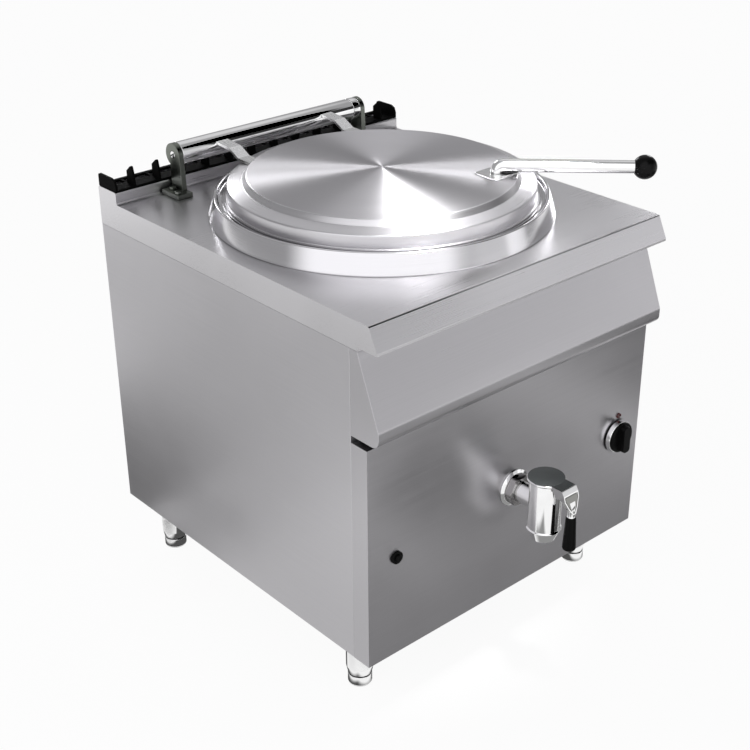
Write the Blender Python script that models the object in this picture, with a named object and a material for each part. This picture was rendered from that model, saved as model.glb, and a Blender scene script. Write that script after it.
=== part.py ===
"""A free-standing gas boiling pan: a steam jacketed kettle in a steel cabinet on four feet.

Everything is in metres, with +z up and the floor at z = 0. Places along y are set out
from the front edge of the worktop, and the empty "kettle" then moves the whole part so
that its origin lies under the middle of its outer box. The front faces -y.
"""

import math

import bmesh
import bpy
from mathutils import Vector

# General sizes
WIDTH = 0.800
DEPTH = 0.874
WORKTOP_HEIGHT = 0.880
BODY_BOTTOM = 0.130
SHEET = 0.002
GAP = 0.0003
OVERRUN = 0.010
WELD = 0.000001

# How finely round things are cut
COARSE_SIDES = 16
FINE_SIDES = 20
ROUND_SIDES = 28
DISC_SIDES = 40
CORNER_STEPS = 2
FASCIA_STEPS = 5
SHARP_ANGLE = math.radians(32)

# Worktop
LIP_LEAN = 0.022
LIP_NOSE_DROP = 0.046
LIP_DEPTH = 0.051
LIP_RETURN = 0.029
LIP_RADIUS = 0.005
SKIRT_DEPTH = 0.059
UPSTAND_HEIGHT = 0.0265
UPSTAND_DEPTH = 0.068
FOLD_RADIUS = 0.004
WELL_LEDGE = 0.016

# Fascia under the worktop's lip
FASCIA_TOP_BACK = 0.031
FASCIA_TURN_BACK = 0.0257
FASCIA_TURN_DROP = 0.0745
FASCIA_NOSE_LEAN = 0.0245
FASCIA_NOSE_DROP = 0.222
FASCIA_DEPTH = 0.2385
FASCIA_RADIUS = 0.018

# Panels
SEAM_BACK = 0.052
FRONT_PANEL_BACK = 0.007
FRONT_PANEL_TOP_DROP = 0.2535
PANEL_FLANGE = 0.025
BACK_PANEL_INSET = 0.003
TRAY_WALL = 0.020
AIR_HOLE_RADIUS = 0.110

# Vessel, jacket and well ring, about one upright axis; the ring fills the clear worktop
WELL_FRONT_SPACE = 0.051
WELL_REAR_SPACE = 0.033
WELL_SIDE_SPACE = 0.039
RING_FOOT_OUT = 0.061
RING_FOOT_RISE = 0.002
RING_TOP_OUT = 0.0485
RING_TOP_RISE = 0.044
RING_TOP_FLAT = 0.006
RING_GUTTER_OUT = 0.039
RING_FOLD = 0.0025
VESSEL_WALL = 0.002
VESSEL_CORNER = 0.030
RIM_RISE = 0.0365
RIM_OUT = 0.031
RIM_FOLD = 0.004
JACKET_OUT = 0.038
JACKET_WALL = 0.003
JACKET_TOP_DROP = 0.022
JACKET_SPACE = 0.045
JACKET_CORNER = 0.050

# Lid, set out from the vessel's radius
LID_SHEET = 0.002
LID_APEX_RISE = 0.093
LID_PLATEAU_IN = 0.020
LID_PLATEAU_RISE = 0.0844
LID_STEP_IN = 0.011
LID_STEP_RISE = 0.0725
LID_EDGE_OUT = 0.021
LID_EDGE_RISE = 0.0672
LID_HEM_OUT = 0.026
LID_FOLD = 0.004

# Lid hinge
HINGE_IN = 0.016
HINGE_RISE = 0.084
HINGE_TUBE_RADIUS = 0.025
HINGE_TUBE_WALL = 0.002
BRACKET_SIDE_SPACE = 0.150
BRACKET_THICKNESS = 0.012
BRACKET_BASE_WIDTH = 0.038
BRACKET_BASE_AHEAD = 0.050
BRACKET_BASE_BEHIND = 0.011
BRACKET_BASE_THICKNESS = 0.010
BRACKET_FOOT_AHEAD = 0.029
COLLAR_LENGTH = 0.020
BUSH_LENGTH = 0.024
PIN_RADIUS = 0.008
PIN_LENGTH = 0.046
PIN_SLOT_WIDTH = 0.003
PIN_SLOT_DEPTH = 0.004
ANCHOR_OFFSET = 0.060
SPRING_RADIUS = 0.016
SPRING_WIRE_RADIUS = 0.0025
SPRING_TURNS = 6
SPRING_STEPS = 10
BOLT_SHANK_RADIUS = 0.004
BOLT_HEAD_RADIUS = 0.0075
BOLT_HEAD_HEIGHT = 0.0055
BOLT_REACH = 0.008
BOLT_OFFSETS = ((0.029, 0.037), (0.021, 0.005))

# Arms from the hinge tube to the lid
ARM_SPREAD_SHARE = 0.49
ARM_WIDTH = 0.030
ARM_THICKNESS = 0.006
ARM_TUBE_RISE = 0.0975
ARM_BEND_AHEAD = 0.070
ARM_BEND_RISE = 0.0935
ARM_LAND_IN = 0.0056
ARM_LAND_RISE = 0.0784
ARM_LAND_LENGTH = 0.046
ARM_END_RISE = 0.0775

# Lid handle
HANDLE_RIGHT_SHARE = 0.561
HANDLE_FRONT_SHARE = 0.632
HANDLE_RISE = 0.104
HANDLE_ANGLE = math.radians(-45)
HANDLE_REACH_IN = 0.001
HANDLE_RADIUS = 0.0135
HANDLE_ELBOW = 0.0138
HANDLE_STUB = 0.001
HANDLE_PLATE_WIDTH = 0.072
HANDLE_PLATE_DEPTH = 0.061
HANDLE_PLATE_CORNER = 0.008
BALL_RADIUS = 0.025
STUD_RADIUS = 0.007
STUD_LENGTH = 0.014

# Flue and its grille
GRILLE_INSET = 0.0015
GRILLE_BACK_INSET = 0.0015
GRILLE_WALL = 0.005
GRILLE_BASE = 0.005
END_PLATE_RISE = 0.0550
END_PLATE_CORNER = 0.016
END_PLATE_REAR_CORNER = 0.005
FIN_EDGE = 0.050
FIN_BAYS = 11
FIN_THICKNESS = 0.005
FIN_LEAN = 0.003
FIN_SHOULDER_RISE = 0.0560
FIN_PEAK_RISE = 0.0725
FIN_PEAK_IN = 0.0115
FIN_PEAK_LENGTH = 0.0045
FIN_TAIL_IN = 0.027
FIN_TAIL_RISE = 0.0595
FLUE_SLOT_IN = 0.034
FLUE_SLOT_WIDTH = 0.024
FLUE_SLOT_END = 0.035
FLUE_DUCT_FRONT_IN = 0.008
FLUE_DUCT_BOTTOM = 0.300

# Drain, on the middle of the front
DRAIN_HEIGHT = 0.384
PIPE_RADIUS = 0.0225
PIPE_BORE = 0.0185
FLANGE_RADIUS = 0.041
FLANGE_THICKNESS = 0.006
NUT_ACROSS = 0.060
NUT_THICKNESS = 0.016
NUT_JOINT = 0.008
TAP_FORWARD = 0.0795
TAP_RADIUS = 0.034
TAP_TOP_RISE = 0.058
TAP_BEAD_DROP = 0.051
TAP_BEAD_RADIUS = 0.0365
TAP_BEAD_HEIGHT = 0.006
TAP_BEAD_EDGE = 0.002
TAP_SPOUT_DROP = 0.079
TAP_SPOUT_RADIUS = 0.025
TAP_BORE = 0.016
PLUG_RADIUS = 0.023
PLUG_DROP = 0.026
PLUG_MEET = 0.005
CAP_RADIUS = 0.0365
CAP_THICKNESS = 0.009
CAP_CROWN = 0.0022
LEVER_WIDTH = 0.042
LEVER_REACH = 0.0595
LEVER_DROP = 0.065
LEVER_FOLD_OUT = 0.006
LEVER_FOLD_DROP = 0.0125
CHEEK_IN = 0.036
CHEEK_TURN = 0.045
CHEEK_DROP = 0.0245
SHIELD_REACH = 0.078
SHIELD_DROP = 0.0555
SHIELD_FOOT = 0.009
SHIELD_SIDES = ((0.0185, 0.029), (0.013, 0.042), (0.0045, 0.0555))
FERRULE_RADIUS = 0.008
FERRULE_IN = 0.0015
GRIP_FORWARD = 0.149
GRIP_TOP_RADIUS = 0.0105
GRIP_BOTTOM_RADIUS = 0.014
GRIP_LENGTH = 0.077
GRIP_CORNER = 0.004
GRIP_STUD_RADIUS = 0.004
GRIP_STUD_LENGTH = 0.020
GRIP_STUD_ROOT = 0.005

# Gas control at the right of the front
KNOB_SIDE_SPACE = 0.074
KNOB_HEIGHT = 0.3815
KNOB_PUSH = 0.003
KNOB_STANDOFF = 0.0034
SKIRT_RADIUS = 0.038
SKIRT_FRONT_RADIUS = 0.0365
SKIRT_LENGTH = 0.010
SKIRT_WALL = 0.002
DIAL_RADIUS = 0.0345
DIAL_THICKNESS = 0.005
DIAL_EDGE = 0.0017
WING_LENGTH = 0.062
WING_WIDTH = 0.022
WING_DEPTH = 0.014
WING_CORNER = 0.008
SPINDLE_RADIUS = 0.004
SPINDLE_SOCKET = 0.010
VALVE_WIDTH = 0.060
VALVE_DEPTH = 0.055
VALVE_HEIGHT = 0.080
VALVE_BORE_DEPTH = 0.030
LAMP_SIDE_SPACE = 0.070
LAMP_RISE = 0.047
LAMP_RADIUS = 0.0062
LAMP_PROUD = 0.004
LAMP_SHANK_RADIUS = 0.004
LAMP_SHANK_LENGTH = 0.020

# Igniter at the left of the front
IGNITER_SIDE_SPACE = 0.072
IGNITER_HEIGHT = 0.3625
IGNITER_COLLAR_RADIUS = 0.0135
IGNITER_COLLAR_LENGTH = 0.0055
IGNITER_KNURLS = 20
IGNITER_KNURL_DEPTH = 0.0006
IGNITER_SHANK_RADIUS = 0.0095
IGNITER_SHANK_LENGTH = 0.035
BUTTON_RADIUS = 0.008
BUTTON_PROUD = 0.0045
BUTTON_EDGE = 0.0014
BUTTON_TRAVEL = 0.004
BUTTON_STEM = 0.015

# Burner and its gas pipe
BURNER_RADIUS = 0.140
BURNER_TUBE = 0.014
BURNER_HEIGHT = 0.236
BURNER_STEPS = 24
BURNER_SIDES = 8
SUPPORT_HALF_TOP = 0.165
SUPPORT_HALF_FOOT = 0.215
SUPPORT_SPLAY = 0.015
SUPPORT_WIDTH = 0.060
GAS_PIPE_RADIUS = 0.006
GAS_PIPE_BEND = 0.030

# Legs and adjustable feet
LEG_INSET = 0.066
LEG_FRONT_BACK = 0.112
LEG_REAR_IN = 0.081
LEG_RADIUS = 0.029
LEG_FLANGE_RADIUS = 0.038
LEG_TAPER = 0.018
FOOT_RADIUS = 0.0255
FOOT_HEIGHT = 0.024
FOOT_LINE = 0.0015
FOOT_CORNER = 0.003
STEM_RADIUS = 0.008
STEM_LENGTH = 0.050

FINISHES = {
    "brushed_steel": ((0.62, 0.61, 0.64), 1.0, 0.32),
    "dull_steel": ((0.45, 0.45, 0.46), 1.0, 0.50),
    "chrome": ((0.80, 0.80, 0.80), 1.0, 0.08),
    "black_enamel": ((0.012, 0.012, 0.012), 0.0, 0.35),
    "black_plastic": ((0.015, 0.015, 0.016), 0.0, 0.28),
    "brass": ((0.70, 0.52, 0.24), 1.0, 0.30),
    "cast_iron": ((0.08, 0.08, 0.085), 0.6, 0.60),
    "red_lens": ((0.22, 0.01, 0.01), 0.0, 0.15),
    "white_nylon": ((0.80, 0.79, 0.75), 0.0, 0.45),
}

X_AXIS = Vector((1, 0, 0))
Y_AXIS = Vector((0, 1, 0))
Z_AXIS = Vector((0, 0, 1))
PLANES = {
    "X": (Y_AXIS, Z_AXIS, X_AXIS),
    "Y": (X_AXIS, Z_AXIS, Y_AXIS),
    "Z": (X_AXIS, Y_AXIS, Z_AXIS),
}

# Places that several pieces share
HALF_WIDTH = WIDTH / 2
TOP = WORKTOP_HEIGHT
SKIRT_BOTTOM = TOP - SKIRT_DEPTH
PANEL_TOP = SKIRT_BOTTOM - GAP
UPSTAND_FRONT = DEPTH - UPSTAND_DEPTH
UPSTAND_TOP = TOP + UPSTAND_HEIGHT
BACK_PANEL_BACK = DEPTH - BACK_PANEL_INSET
FRONT_PANEL_TOP = TOP - FRONT_PANEL_TOP_DROP
CLEAR_DEPTH = UPSTAND_FRONT - WELL_FRONT_SPACE - WELL_REAR_SPACE
CLEAR_WIDTH = WIDTH - 2 * WELL_SIDE_SPACE
RING_FOOT_RADIUS = min(CLEAR_DEPTH, CLEAR_WIDTH) / 2
VESSEL_RADIUS = RING_FOOT_RADIUS - RING_FOOT_OUT
WELL_BACK = UPSTAND_FRONT - WELL_REAR_SPACE - RING_FOOT_RADIUS
WELL_AXIS = Vector((0, WELL_BACK, 0))
WELL_HOLE_RADIUS = RING_FOOT_RADIUS - WELL_LEDGE
RIM_TOP = TOP + RIM_RISE
LID_SEAT = RIM_TOP + GAP
LID_PLATEAU_RADIUS = VESSEL_RADIUS - LID_PLATEAU_IN
LID_EDGE_RADIUS = VESSEL_RADIUS + LID_EDGE_OUT
VESSEL_BOTTOM = DRAIN_HEIGHT - PIPE_BORE
JACKET_BOTTOM = VESSEL_BOTTOM - JACKET_SPACE
HINGE_BACK = UPSTAND_FRONT - HINGE_IN
HINGE_HEIGHT = TOP + HINGE_RISE
BRACKET_INNER = HALF_WIDTH - BRACKET_SIDE_SPACE
BOLT_SPOTS = [(BRACKET_INNER + out, HINGE_BACK - ahead) for out, ahead in BOLT_OFFSETS]
KNOB_RIGHT = HALF_WIDTH - KNOB_SIDE_SPACE
LAMP_RIGHT = HALF_WIDTH - LAMP_SIDE_SPACE
IGNITER_RIGHT = IGNITER_SIDE_SPACE - HALF_WIDTH
TAP_Y = -TAP_FORWARD
TAP_TOP = DRAIN_HEIGHT + TAP_TOP_RISE
LEVER_TOP = TAP_TOP + GAP + CAP_THICKNESS
LEVER_BOTTOM = LEVER_TOP - LEVER_DROP
GRIP_TOP = LEVER_BOTTOM - GAP
TRAY_FLOOR = BODY_BOTTOM + SHEET + GAP
FRONT_Y = (GRIP_FORWARD + GRIP_BOTTOM_RADIUS - DEPTH) / 2


def clear_scene():
    """Remove what the open file holds."""
    for leftover in list(bpy.data.objects):
        bpy.data.objects.remove(leftover, do_unlink=True)


def empty(name, place, parent=None):
    """An empty that carries pieces; a moving piece's empty lies on its joint's axis."""
    pivot = bpy.data.objects.new(name, None)
    bpy.context.scene.collection.objects.link(pivot)
    pivot.parent = parent
    pivot.location = place
    return pivot


def material(name, finish):
    """One piece's own material, in one of the finishes that the kettle has."""
    colour, metallic, roughness = FINISHES[finish]
    made = bpy.data.materials.new(f"{name}_{finish}")
    made.use_nodes = True
    shader = made.node_tree.nodes["Principled BSDF"]
    shader.inputs["Base Color"].default_value = (*colour, 1)
    shader.inputs["Metallic"].default_value = metallic
    shader.inputs["Roughness"].default_value = roughness
    made.diffuse_color = (*colour, 1)
    return made


def to_mesh(shape, name):
    """A closed mesh, faces out, from a bmesh."""
    bmesh.ops.recalc_face_normals(shape, faces=shape.faces)
    mesh = bpy.data.meshes.new(name)
    shape.to_mesh(mesh)
    shape.free()
    mesh.shade_smooth()
    mesh.set_sharp_from_angle(angle=SHARP_ANGLE)
    return mesh


def corner_arc(before, corner, after, radius, steps):
    """The points that round one corner of a path."""
    inward = (corner - before).normalized()
    outward = (after - corner).normalized()
    turn = inward.angle(outward)
    setback = radius * math.tan(turn / 2)
    aside = (outward - inward * inward.dot(outward)).normalized()
    centre = corner - inward * setback + aside * radius
    angles = [turn * step / steps for step in range(steps + 1)]
    return [
        centre - aside * radius * math.cos(angle) + inward * radius * math.sin(angle)
        for angle in angles
    ]


def rounded(points, radii, steps=CORNER_STEPS, closed=True):
    """The points with corners rounded; radii is one value, or one for each corner."""
    corners = [Vector(point) for point in points]
    count = len(corners)
    if not isinstance(radii, (list, tuple)):
        radii = [radii] * count
    path = []
    for index, corner in enumerate(corners):
        is_end = not closed and index in (0, count - 1)
        if is_end or not radii[index]:
            path.append(corner)
            continue
        after = corners[(index + 1) % count]
        path.extend(corner_arc(corners[index - 1], corner, after, radii[index], steps))
    return path


def left_of(start, end):
    """The unit vector to the left of the way from start to end."""
    way = (end - start).normalized()
    return Vector((-way.y, way.x))


def set_off(path, distance, closed=False):
    """The path moved to its left by a distance, with mitred corners."""
    count = len(path)
    moved = []
    for index, point in enumerate(path):
        sides = []
        if closed or index > 0:
            sides.append(left_of(path[index - 1], point))
        if closed or index < count - 1:
            sides.append(left_of(point, path[(index + 1) % count]))
        first, last = sides[0], sides[-1]
        moved.append(point + (first + last) * distance / (1 + first.dot(last)))
    return moved


def strip(path, thickness):
    """The closed outline of a sheet that follows a path, with the sheet to its left."""
    path = [Vector(point) for point in path]
    return path + set_off(path, thickness)[::-1]


def circle(radius, sides, centre=(0, 0)):
    """A round outline, as corners of a regular polygon."""
    turns = [math.tau * side / sides for side in range(sides)]
    across, up = centre
    return [(across + radius * math.cos(turn), up + radius * math.sin(turn)) for turn in turns]


def rectangle(low, high):
    """A rectangle between two corners."""
    return [(low[0], low[1]), (high[0], low[1]), (high[0], high[1]), (low[0], high[1])]


def prism(outline, axis, low, high):
    """An outline extruded along an axis; on X it is (y, z), on Y (x, z), on Z (x, y)."""
    across, up, along = PLANES[axis]
    shape = bmesh.new()
    corners = [shape.verts.new(across * u + up * v + along * low) for u, v in outline]
    face = shape.faces.new(corners)
    grown = bmesh.ops.extrude_face_region(shape, geom=[face])["geom"]
    moved = [item for item in grown if isinstance(item, bmesh.types.BMVert)]
    bmesh.ops.translate(shape, vec=along * (high - low), verts=moved)
    return to_mesh(shape, "prism")


def block(low, high):
    """A box between two corners."""
    return prism(rectangle(low, high), "Z", low[2], high[2])


def revolve(outline, sides, axis="Z"):
    """A (radius, height) outline turned about an axis; it may start and end on the axis."""
    across, _, along = PLANES[axis]
    shape = bmesh.new()
    verts = [shape.verts.new(across * radius + along * height) for radius, height in outline]
    pairs = list(zip(verts, verts[1:]))
    if outline[0][0] or outline[-1][0]:
        pairs.append((verts[-1], verts[0]))
    edges = [shape.edges.new(pair) for pair in pairs]
    bmesh.ops.spin(
        shape,
        geom=verts + edges,
        cent=(0, 0, 0),
        axis=along,
        angle=math.tau,
        steps=sides,
        use_merge=True,
    )
    bmesh.ops.remove_doubles(shape, verts=shape.verts, dist=WELD)
    return to_mesh(shape, "turned")


def cylinder(radius, low, high, sides, axis="Z"):
    """A solid round bar along an axis."""
    return prism(circle(radius, sides), axis, low, high)


def swept(points, radius, resolution):
    """A round bar along a path of points."""
    curve = bpy.data.curves.new("path", "CURVE")
    curve.dimensions = "3D"
    curve.bevel_depth = radius
    curve.bevel_resolution = resolution
    curve.use_fill_caps = True
    spline = curve.splines.new("POLY")
    spline.points.add(len(points) - 1)
    for place, point in zip(spline.points, points):
        place.co = (*point, 1)
    holder = bpy.data.objects.new("path", curve)
    mesh = bpy.data.meshes.new_from_object(holder)
    bpy.data.objects.remove(holder)
    shape = bmesh.new()
    shape.from_mesh(mesh)
    bmesh.ops.remove_doubles(shape, verts=shape.verts, dist=WELD)
    return to_mesh(shape, "swept")


def joined(meshes):
    """Several closed shapes that don't meet, as the one mesh of a cutter."""
    shape = bmesh.new()
    for mesh in meshes:
        shape.from_mesh(mesh)
    return to_mesh(shape, "cutters")


def add(name, mesh, finish, pivot, place=(0, 0, 0)):
    """A piece in cabinet coordinates, carried by the kettle's empty or by a joint's."""
    piece = bpy.data.objects.new(name, mesh)
    bpy.context.scene.collection.objects.link(piece)
    piece.parent = pivot
    away = pivot.location if pivot.parent else Vector()
    piece.location = Vector(place) - away
    if finish:
        mesh.name = name
        mesh.materials.append(material(name, finish))
    return piece


def shaped(piece, mesh, operation="DIFFERENCE", place=(0, 0, 0)):
    """Cut another shape from a piece, or join it on."""
    number = len(piece.modifiers) + 1
    tool = add(f"{piece.name}_tool_{number}", mesh, None, piece.parent, place)
    tool.hide_render = True
    tool.display_type = "WIRE"
    modifier = piece.modifiers.new(tool.name, "BOOLEAN")
    modifier.operation = operation
    modifier.solver = "EXACT"
    modifier.object = tool
    return piece


def worktop_outline():
    """The worktop from its side: lip at the front, upstand at the back."""
    corners = [
        (LIP_RETURN, SKIRT_BOTTOM),
        (LIP_RETURN, TOP - LIP_DEPTH),
        (-LIP_LEAN, TOP - LIP_DEPTH),
        (-LIP_LEAN, TOP - LIP_NOSE_DROP),
        (0, TOP),
        (UPSTAND_FRONT, TOP),
        (UPSTAND_FRONT, UPSTAND_TOP),
        (DEPTH, UPSTAND_TOP),
        (DEPTH, SKIRT_BOTTOM),
    ]
    radii = [0, 0, 0, LIP_RADIUS / 2, FOLD_RADIUS, FOLD_RADIUS, FOLD_RADIUS, FOLD_RADIUS, 0]
    return rounded(corners, radii, steps=2)


def hollow_of(outline, opened, distance):
    """The inside of a pressed sheet: the outline set in, with some corners pushed out."""
    inside = set_off(outline, -SHEET, closed=True)
    for index in opened:
        inside[index] += Vector(distance)
    return inside


def worktop(kettle):
    """The pressed top, with holes for the well, the flue and the hinge's bolts."""
    outline = worktop_outline()
    piece = add("worktop", prism(outline, "X", -HALF_WIDTH, HALF_WIDTH), "brushed_steel", kettle)
    inside = hollow_of(outline, (0, len(outline) - 1), (0, -OVERRUN))
    inner = HALF_WIDTH - SHEET
    shaped(piece, prism(inside, "X", -inner, inner))
    low, high = TOP - OVERRUN, TOP + OVERRUN
    shaped(piece, cylinder(WELL_HOLE_RADIUS, low, high, DISC_SIDES), place=WELL_AXIS)
    slot_front = UPSTAND_FRONT + FLUE_SLOT_IN
    slot_half = HALF_WIDTH - FLUE_SLOT_END
    slot_low = (-slot_half, slot_front, UPSTAND_TOP - OVERRUN)
    slot_high = (slot_half, slot_front + FLUE_SLOT_WIDTH, UPSTAND_TOP + OVERRUN)
    shaped(piece, block(slot_low, slot_high))
    holes = [
        prism(circle(BOLT_SHANK_RADIUS + GAP, COARSE_SIDES, (side * right, back)), "Z", low, high)
        for side in (-1, 1)
        for right, back in BOLT_SPOTS
    ]
    shaped(piece, joined(holes))


def fascia(kettle):
    """The blank strip between the lip and the front panel, leaning out at its foot."""
    back = SEAM_BACK - GAP
    outline = rounded(
        [
            (back, TOP - FASCIA_DEPTH),
            (back, PANEL_TOP),
            (FASCIA_TOP_BACK, PANEL_TOP),
            (FASCIA_TURN_BACK, TOP - FASCIA_TURN_DROP),
            (-FASCIA_NOSE_LEAN, TOP - FASCIA_NOSE_DROP + FASCIA_RADIUS),
            (-FASCIA_NOSE_LEAN, TOP - FASCIA_DEPTH),
        ],
        [0, 0, 0, 0, 0, FASCIA_RADIUS],
        steps=FASCIA_STEPS,
    )
    mesh = prism(outline, "X", -HALF_WIDTH, HALF_WIDTH)
    piece = add("control_fascia", mesh, "brushed_steel", kettle)
    inside = set_off(outline, SHEET, closed=True)
    for index in (0, 1):
        inside[index].x = back + OVERRUN
    inner = HALF_WIDTH - SHEET
    shaped(piece, prism(inside, "X", -inner, inner))


def tray(name, low, high, opened, finish, kettle):
    """A pressed panel: a shallow box of sheet, open to one side given as (axis, end)."""
    piece = add(name, block(low, high), finish, kettle)
    inner_low = [edge + SHEET for edge in low]
    inner_high = [edge - SHEET for edge in high]
    axis, end = opened
    if end > 0:
        inner_high[axis] = high[axis] + OVERRUN
    else:
        inner_low[axis] = low[axis] - OVERRUN
    shaped(piece, block(inner_low, inner_high))
    return piece


def panels(kettle):
    """Front, side and back panels and the floor of the cabinet."""
    inner = HALF_WIDTH - PANEL_FLANGE
    low = (-HALF_WIDTH, SEAM_BACK, BODY_BOTTOM)
    high = (-inner, DEPTH - GAP, PANEL_TOP)
    tray("left_side_panel", low, high, (0, 1), "brushed_steel", kettle)
    low = (inner, SEAM_BACK, BODY_BOTTOM)
    high = (HALF_WIDTH, DEPTH - GAP, PANEL_TOP)
    tray("right_side_panel", low, high, (0, -1), "brushed_steel", kettle)

    low = (-HALF_WIDTH, FRONT_PANEL_BACK, BODY_BOTTOM)
    high = (HALF_WIDTH, SEAM_BACK - GAP, FRONT_PANEL_TOP)
    front = tray("front_panel", low, high, (1, 1), "brushed_steel", kettle)
    near, far = FRONT_PANEL_BACK - OVERRUN, FRONT_PANEL_BACK + OVERRUN
    holes = (
        (PIPE_RADIUS, 0, DRAIN_HEIGHT, FINE_SIDES),
        (SPINDLE_RADIUS, KNOB_RIGHT, KNOB_HEIGHT, COARSE_SIDES),
        (LAMP_SHANK_RADIUS, LAMP_RIGHT, KNOB_HEIGHT + LAMP_RISE, COARSE_SIDES),
        (IGNITER_SHANK_RADIUS, IGNITER_RIGHT, IGNITER_HEIGHT, COARSE_SIDES),
    )
    cutters = [
        prism(circle(radius + GAP, sides, (right, height)), "Y", near, far)
        for radius, right, height, sides in holes
    ]
    shaped(front, joined(cutters))

    side = HALF_WIDTH - SHEET - GAP
    back = BACK_PANEL_BACK - SHEET
    floor_top = TRAY_FLOOR + SHEET
    low = (-side, back - SHEET, TRAY_FLOOR)
    high = (side, back, PANEL_TOP - SHEET - GAP)
    add("back_panel", block(low, high), "dull_steel", kettle)

    low = (-side, SEAM_BACK + SHEET + GAP, TRAY_FLOOR)
    high = (side, back - SHEET - GAP, TRAY_FLOOR + TRAY_WALL)
    floor = tray("base_tray", low, high, (2, 1), "dull_steel", kettle)
    hole = cylinder(AIR_HOLE_RADIUS, TRAY_FLOOR - OVERRUN, floor_top + OVERRUN, ROUND_SIDES)
    shaped(floor, hole, place=WELL_AXIS)


def well_ring(kettle):
    """The ring pressed up round the well: a cone, a rolled top and a gutter inside it."""
    gutter = RIM_TOP - VESSEL_WALL - GAP
    top = TOP + RING_TOP_RISE
    crest = VESSEL_RADIUS + RING_TOP_OUT
    path = rounded(
        [
            (RING_FOOT_RADIUS, TOP + GAP),
            (RING_FOOT_RADIUS, TOP + GAP + RING_FOOT_RISE),
            (crest, top),
            (crest - RING_TOP_FLAT, top),
            (VESSEL_RADIUS + RING_GUTTER_OUT, gutter),
            (VESSEL_RADIUS + VESSEL_WALL + SHEET, gutter),
        ],
        [0, 0, RING_FOLD, RING_FOLD, RING_FOLD, 0],
        steps=1,
        closed=False,
    )
    mesh = revolve(strip(path, SHEET), DISC_SIDES)
    add("well_ring", mesh, "brushed_steel", kettle, WELL_AXIS)


def vessel_path():
    """The inside of the vessel from the middle of its floor to its rim."""
    return rounded(
        [
            (0, VESSEL_BOTTOM),
            (VESSEL_RADIUS, VESSEL_BOTTOM),
            (VESSEL_RADIUS, RIM_TOP),
            (VESSEL_RADIUS + RIM_OUT, RIM_TOP),
        ],
        [0, VESSEL_CORNER, RIM_FOLD, 0],
        closed=False,
    )


def drain_hole(radius):
    """A bar along the drain's axis, for the holes that the drain pipe runs through."""
    far = WELL_BACK - VESSEL_RADIUS + VESSEL_CORNER
    return cylinder(radius, FRONT_PANEL_BACK + OVERRUN, far + OVERRUN, FINE_SIDES, "Y")


def vessel(kettle):
    """The stainless pan, about 150 litres, with its rim turned out over the gutter."""
    mesh = revolve(strip(vessel_path(), -VESSEL_WALL), DISC_SIDES)
    piece = add("vessel", mesh, "brushed_steel", kettle, WELL_AXIS)
    shaped(piece, drain_hole(PIPE_RADIUS + GAP), place=(0, 0, DRAIN_HEIGHT))


def jacket(kettle):
    """The outer pan that holds the steam round the vessel."""
    top = TOP - JACKET_TOP_DROP
    radius = VESSEL_RADIUS + JACKET_OUT
    path = rounded(
        [
            (0, JACKET_BOTTOM),
            (radius, JACKET_BOTTOM),
            (radius, top),
            (VESSEL_RADIUS + VESSEL_WALL + GAP, top),
        ],
        [0, JACKET_CORNER, JACKET_WALL * 2, 0],
        closed=False,
    )
    mesh = revolve(strip(path, JACKET_WALL), DISC_SIDES)
    piece = add("steam_jacket", mesh, "dull_steel", kettle, WELL_AXIS)
    shaped(piece, drain_hole(PIPE_RADIUS + GAP), place=(0, 0, DRAIN_HEIGHT))


def drain_pipe(kettle):
    """The pipe from the foot of the vessel to the tap, its end shaped to the vessel."""
    far = WELL_BACK - VESSEL_RADIUS + VESSEL_CORNER
    near = FRONT_PANEL_BACK - NUT_JOINT
    place = (0, 0, DRAIN_HEIGHT)
    outline = rectangle((PIPE_BORE, near), (PIPE_RADIUS, far))
    piece = add("drain_pipe", revolve(outline, FINE_SIDES, "Y"), "dull_steel", kettle, place)
    inside = vessel_path()[:-CORNER_STEPS - 2]
    inside.append(Vector((VESSEL_RADIUS, TOP)))
    inside.append(Vector((0, TOP)))
    shaped(piece, revolve(inside, DISC_SIDES), place=WELL_AXIS)


def lid_path():
    """The top of the lid, from its middle out to the hem."""
    hem = LID_SEAT + LID_SHEET
    return rounded(
        [
            (0, TOP + LID_APEX_RISE),
            (LID_PLATEAU_RADIUS, TOP + LID_PLATEAU_RISE),
            (VESSEL_RADIUS - LID_STEP_IN, TOP + LID_STEP_RISE),
            (LID_EDGE_RADIUS, TOP + LID_EDGE_RISE),
            (LID_EDGE_RADIUS, hem),
            (VESSEL_RADIUS + LID_HEM_OUT, hem),
        ],
        [0, LID_FOLD, LID_FOLD, LID_FOLD, LID_FOLD / 2, 0],
        steps=1,
        closed=False,
    )


def lid_block():
    """The lid's outer form as a solid, GAP larger, to shape what is fixed on the lid."""
    grown = set_off(lid_path(), GAP)
    grown[0].x = 0
    return revolve(grown + [Vector((grown[-1].x, TOP)), Vector((0, TOP))], DISC_SIDES)


def lid(pivot):
    """The pressed lid, slightly coned, with its arms and its handle."""
    mesh = revolve(strip(lid_path(), -LID_SHEET), DISC_SIDES)
    add("lid_shell", mesh, "brushed_steel", pivot, WELL_AXIS)
    lid_arms(pivot)
    lid_handle(pivot)


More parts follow.
